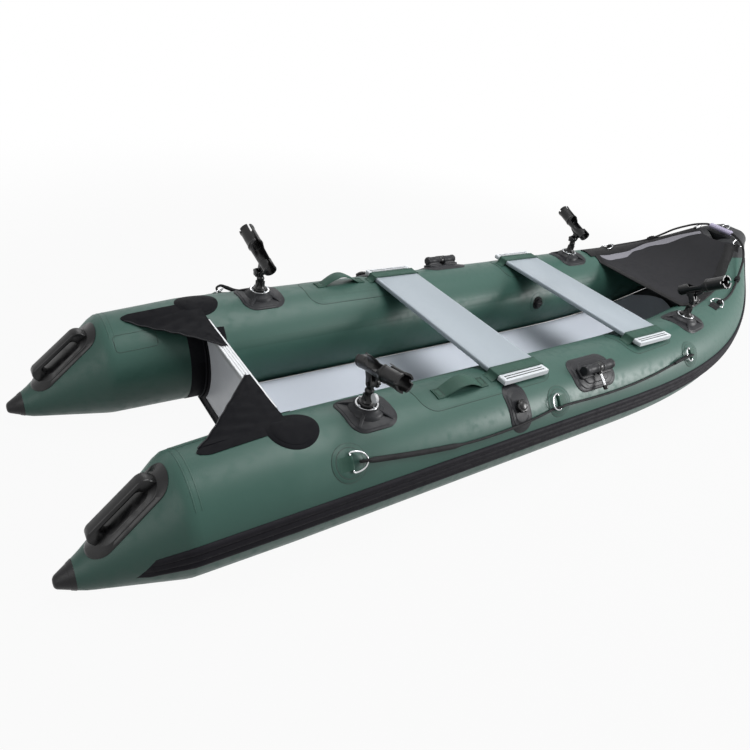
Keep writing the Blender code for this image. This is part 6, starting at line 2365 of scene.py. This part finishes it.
@dataclass
class Stage:
    """Camera, floor, lamps and world."""

    place: tuple[float, float, float] = (1.6746, -2.0488, 1.6088)
    yaw: float = 49.90
    pitch: float = 32.96
    roll: float = 11.83
    lens: float = 28.84
    sensor: float = 36.0
    aim_height: float = 0.25
    floor_reach: float = 30.0
    floor_drop: float = 0.0012
    floor_tone: float = 0.20
    floor_glow: float = 0.945
    floor_fade: Pair = (2.2, 4.6)
    world_tone: tuple[float, float, float, float] = (0.92, 0.95, 1.0, 1.0)
    world_strength: float = 0.17

    def build(self) -> None:
        """Make the whole stage."""
        self.camera()
        self.floor()
        self.lamps()
        self.world()

    def camera(self) -> None:
        """Camera at the photograph's place and angle."""
        yaw, pitch, roll = (math.radians(value) for value in (self.yaw, self.pitch, self.roll))
        ahead = Vector((-math.sin(yaw) * math.cos(pitch), math.cos(yaw) * math.cos(pitch), -math.sin(pitch)))
        level = Vector((math.cos(yaw), math.sin(yaw), 0.0))
        upright = level.cross(ahead)
        right = level * math.cos(roll) + upright * math.sin(roll)
        up = upright * math.cos(roll) - level * math.sin(roll)
        data = bpy.data.cameras.new("photo_camera")
        data.lens, data.sensor_width = self.lens, self.sensor
        data.clip_end = 60.0
        camera = bpy.data.objects.new("photo_camera", data)
        frame = Matrix((right, up, -ahead)).transposed().to_4x4()
        frame.translation = Vector(self.place)
        camera.matrix_world = frame
        bpy.context.scene.collection.objects.link(camera)
        bpy.context.scene.camera = camera

    @staticmethod
    def _background_rays(tree: bpy.types.NodeTree) -> bpy.types.NodeSocket:
        """One where a ray comes straight from the camera or by a mirror or glass."""
        rays = tree.nodes.new("ShaderNodeLightPath").outputs
        seen = computed(tree, "MAXIMUM", rays["Is Camera Ray"], rays["Is Glossy Ray"])
        return computed(tree, "MAXIMUM", seen, rays["Is Transmission Ray"])

    def floor(self) -> None:
        """White seamless floor that keeps a soft part of the boat's shadow near the boat."""
        mesh = bpy.data.meshes.new("studio_floor")
        work = bmesh.new()
        bmesh.ops.create_grid(work, x_segments=1, y_segments=1, size=self.floor_reach)
        work.to_mesh(mesh)
        work.free()
        floor = bpy.data.objects.new("studio_floor", mesh)
        floor.location.z = -self.floor_drop
        bpy.context.scene.collection.objects.link(floor)
        material = bpy.data.materials.new("studio_white")
        material.use_nodes = True
        tree = material.node_tree
        tree.nodes.remove(tree.nodes["Principled BSDF"])
        matte = wired(tree, "BsdfDiffuse",
            {"Color": (self.floor_tone, self.floor_tone, self.floor_tone, 1.0)})
        glow = wired(tree, "Emission", {"Color": WHITE})
        place = tree.nodes.new("ShaderNodeTexCoord").outputs["Object"]
        distance = wired(tree, "VectorMath", {0: place}, operation="LENGTH").outputs["Value"]
        near, far = self.floor_fade
        edges = {"From Min": near, "From Max": far, "To Min": self.floor_glow, "To Max": 1.0}
        fade = wired(tree, "MapRange", {"Value": distance, **edges}, interpolation_type="SMOOTHSTEP")
        share = computed(tree, "MULTIPLY", self._background_rays(tree), fade.outputs["Result"])
        mix = wired(tree, "MixShader", {"Fac": share, 1: matte.outputs[0], 2: glow.outputs[0]})
        tree.links.new(mix.outputs[0], tree.nodes["Material Output"].inputs["Surface"])
        mesh.materials.append(material)

    def _lamp(self, name: str, place: tuple[float, float, float], size: float, power: float) -> None:
        """Square area lamp aimed at the boat's middle."""
        data = bpy.data.lights.new(name, "AREA")
        data.shape = "SQUARE"
        data.size = size
        data.energy = power
        lamp = bpy.data.objects.new(name, data)
        lamp.location = place
        lamp.rotation_euler = (Vector((0, 0, self.aim_height)) - Vector(place)).to_track_quat("-Z",
            "Y").to_euler()
        bpy.context.scene.collection.objects.link(lamp)

    def lamps(self) -> None:
        """Overhead softbox, a key from the port side and two fills from starboard, aft and at the bow."""
        for name, place, size, power in LAMPS:
            self._lamp(name, place, size, power)

    def world(self) -> None:
        """Even pale light, seen as white behind the boat."""
        world = bpy.data.worlds.new("studio_world")
        world.use_nodes = True
        tree = world.node_tree
        ground = tree.nodes["Background"]
        ground.inputs["Color"].default_value = self.world_tone
        ground.inputs["Strength"].default_value = self.world_strength
        white = wired(tree, "Background", {"Color": WHITE, "Strength": 1.0})
        rays = self._background_rays(tree)
        mix = wired(tree, "MixShader", {"Fac": rays, 1: ground.outputs[0], 2: white.outputs[0]})
        tree.links.new(mix.outputs[0], tree.nodes["World Output"].inputs["Surface"])
        bpy.context.scene.world = world


# The boat


RODS = (
    (Side.PORT, Berth.AFT, 268.0, 20.0, False),
    (Side.STARBOARD, Berth.AFT, 92.0, 15.0, True),
    (Side.PORT, Berth.FORE, 280.0, 16.0, False),
    (Side.STARBOARD, Berth.FORE, 98.0, 36.0, False),
)


@dataclass
class Kayak:
    """Every sub-assembly of the boat."""

    palette: Palette

    def build(self) -> None:
        """Make the boat piece by piece."""
        hull = Hull(self.palette)
        hull.build()
        Transom(self.palette, hull).build()
        Bench(self.palette, Berth.AFT, 1.700, patch=(0.66, -0.175)).build()
        Bench(self.palette, Berth.FORE, 2.580).build()
        for side in Side:
            for fitting in (StrapHandle, SternHandle, Oarlock, PaddleKnob, ValveCap):
                fitting(self.palette, side).build()
            for place in RINGS:
                DRing(self.palette, side, place).build()
        for side, berth, heading, rise, clamp in RODS:
            RodHolder(self.palette, side, berth, heading, rise, clamp).build()
        BowCover(self.palette).build()
        Lines(self.palette).build()


def main() -> None:
    """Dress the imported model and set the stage."""
    logging.basicConfig(level=logging.INFO, format="%(name)s: %(message)s")
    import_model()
    bpy.context.scene.view_settings.view_transform = "Standard"
    Kayak(Palette()).build()
    Stage().build()


if __name__ == "__main__":
    main()
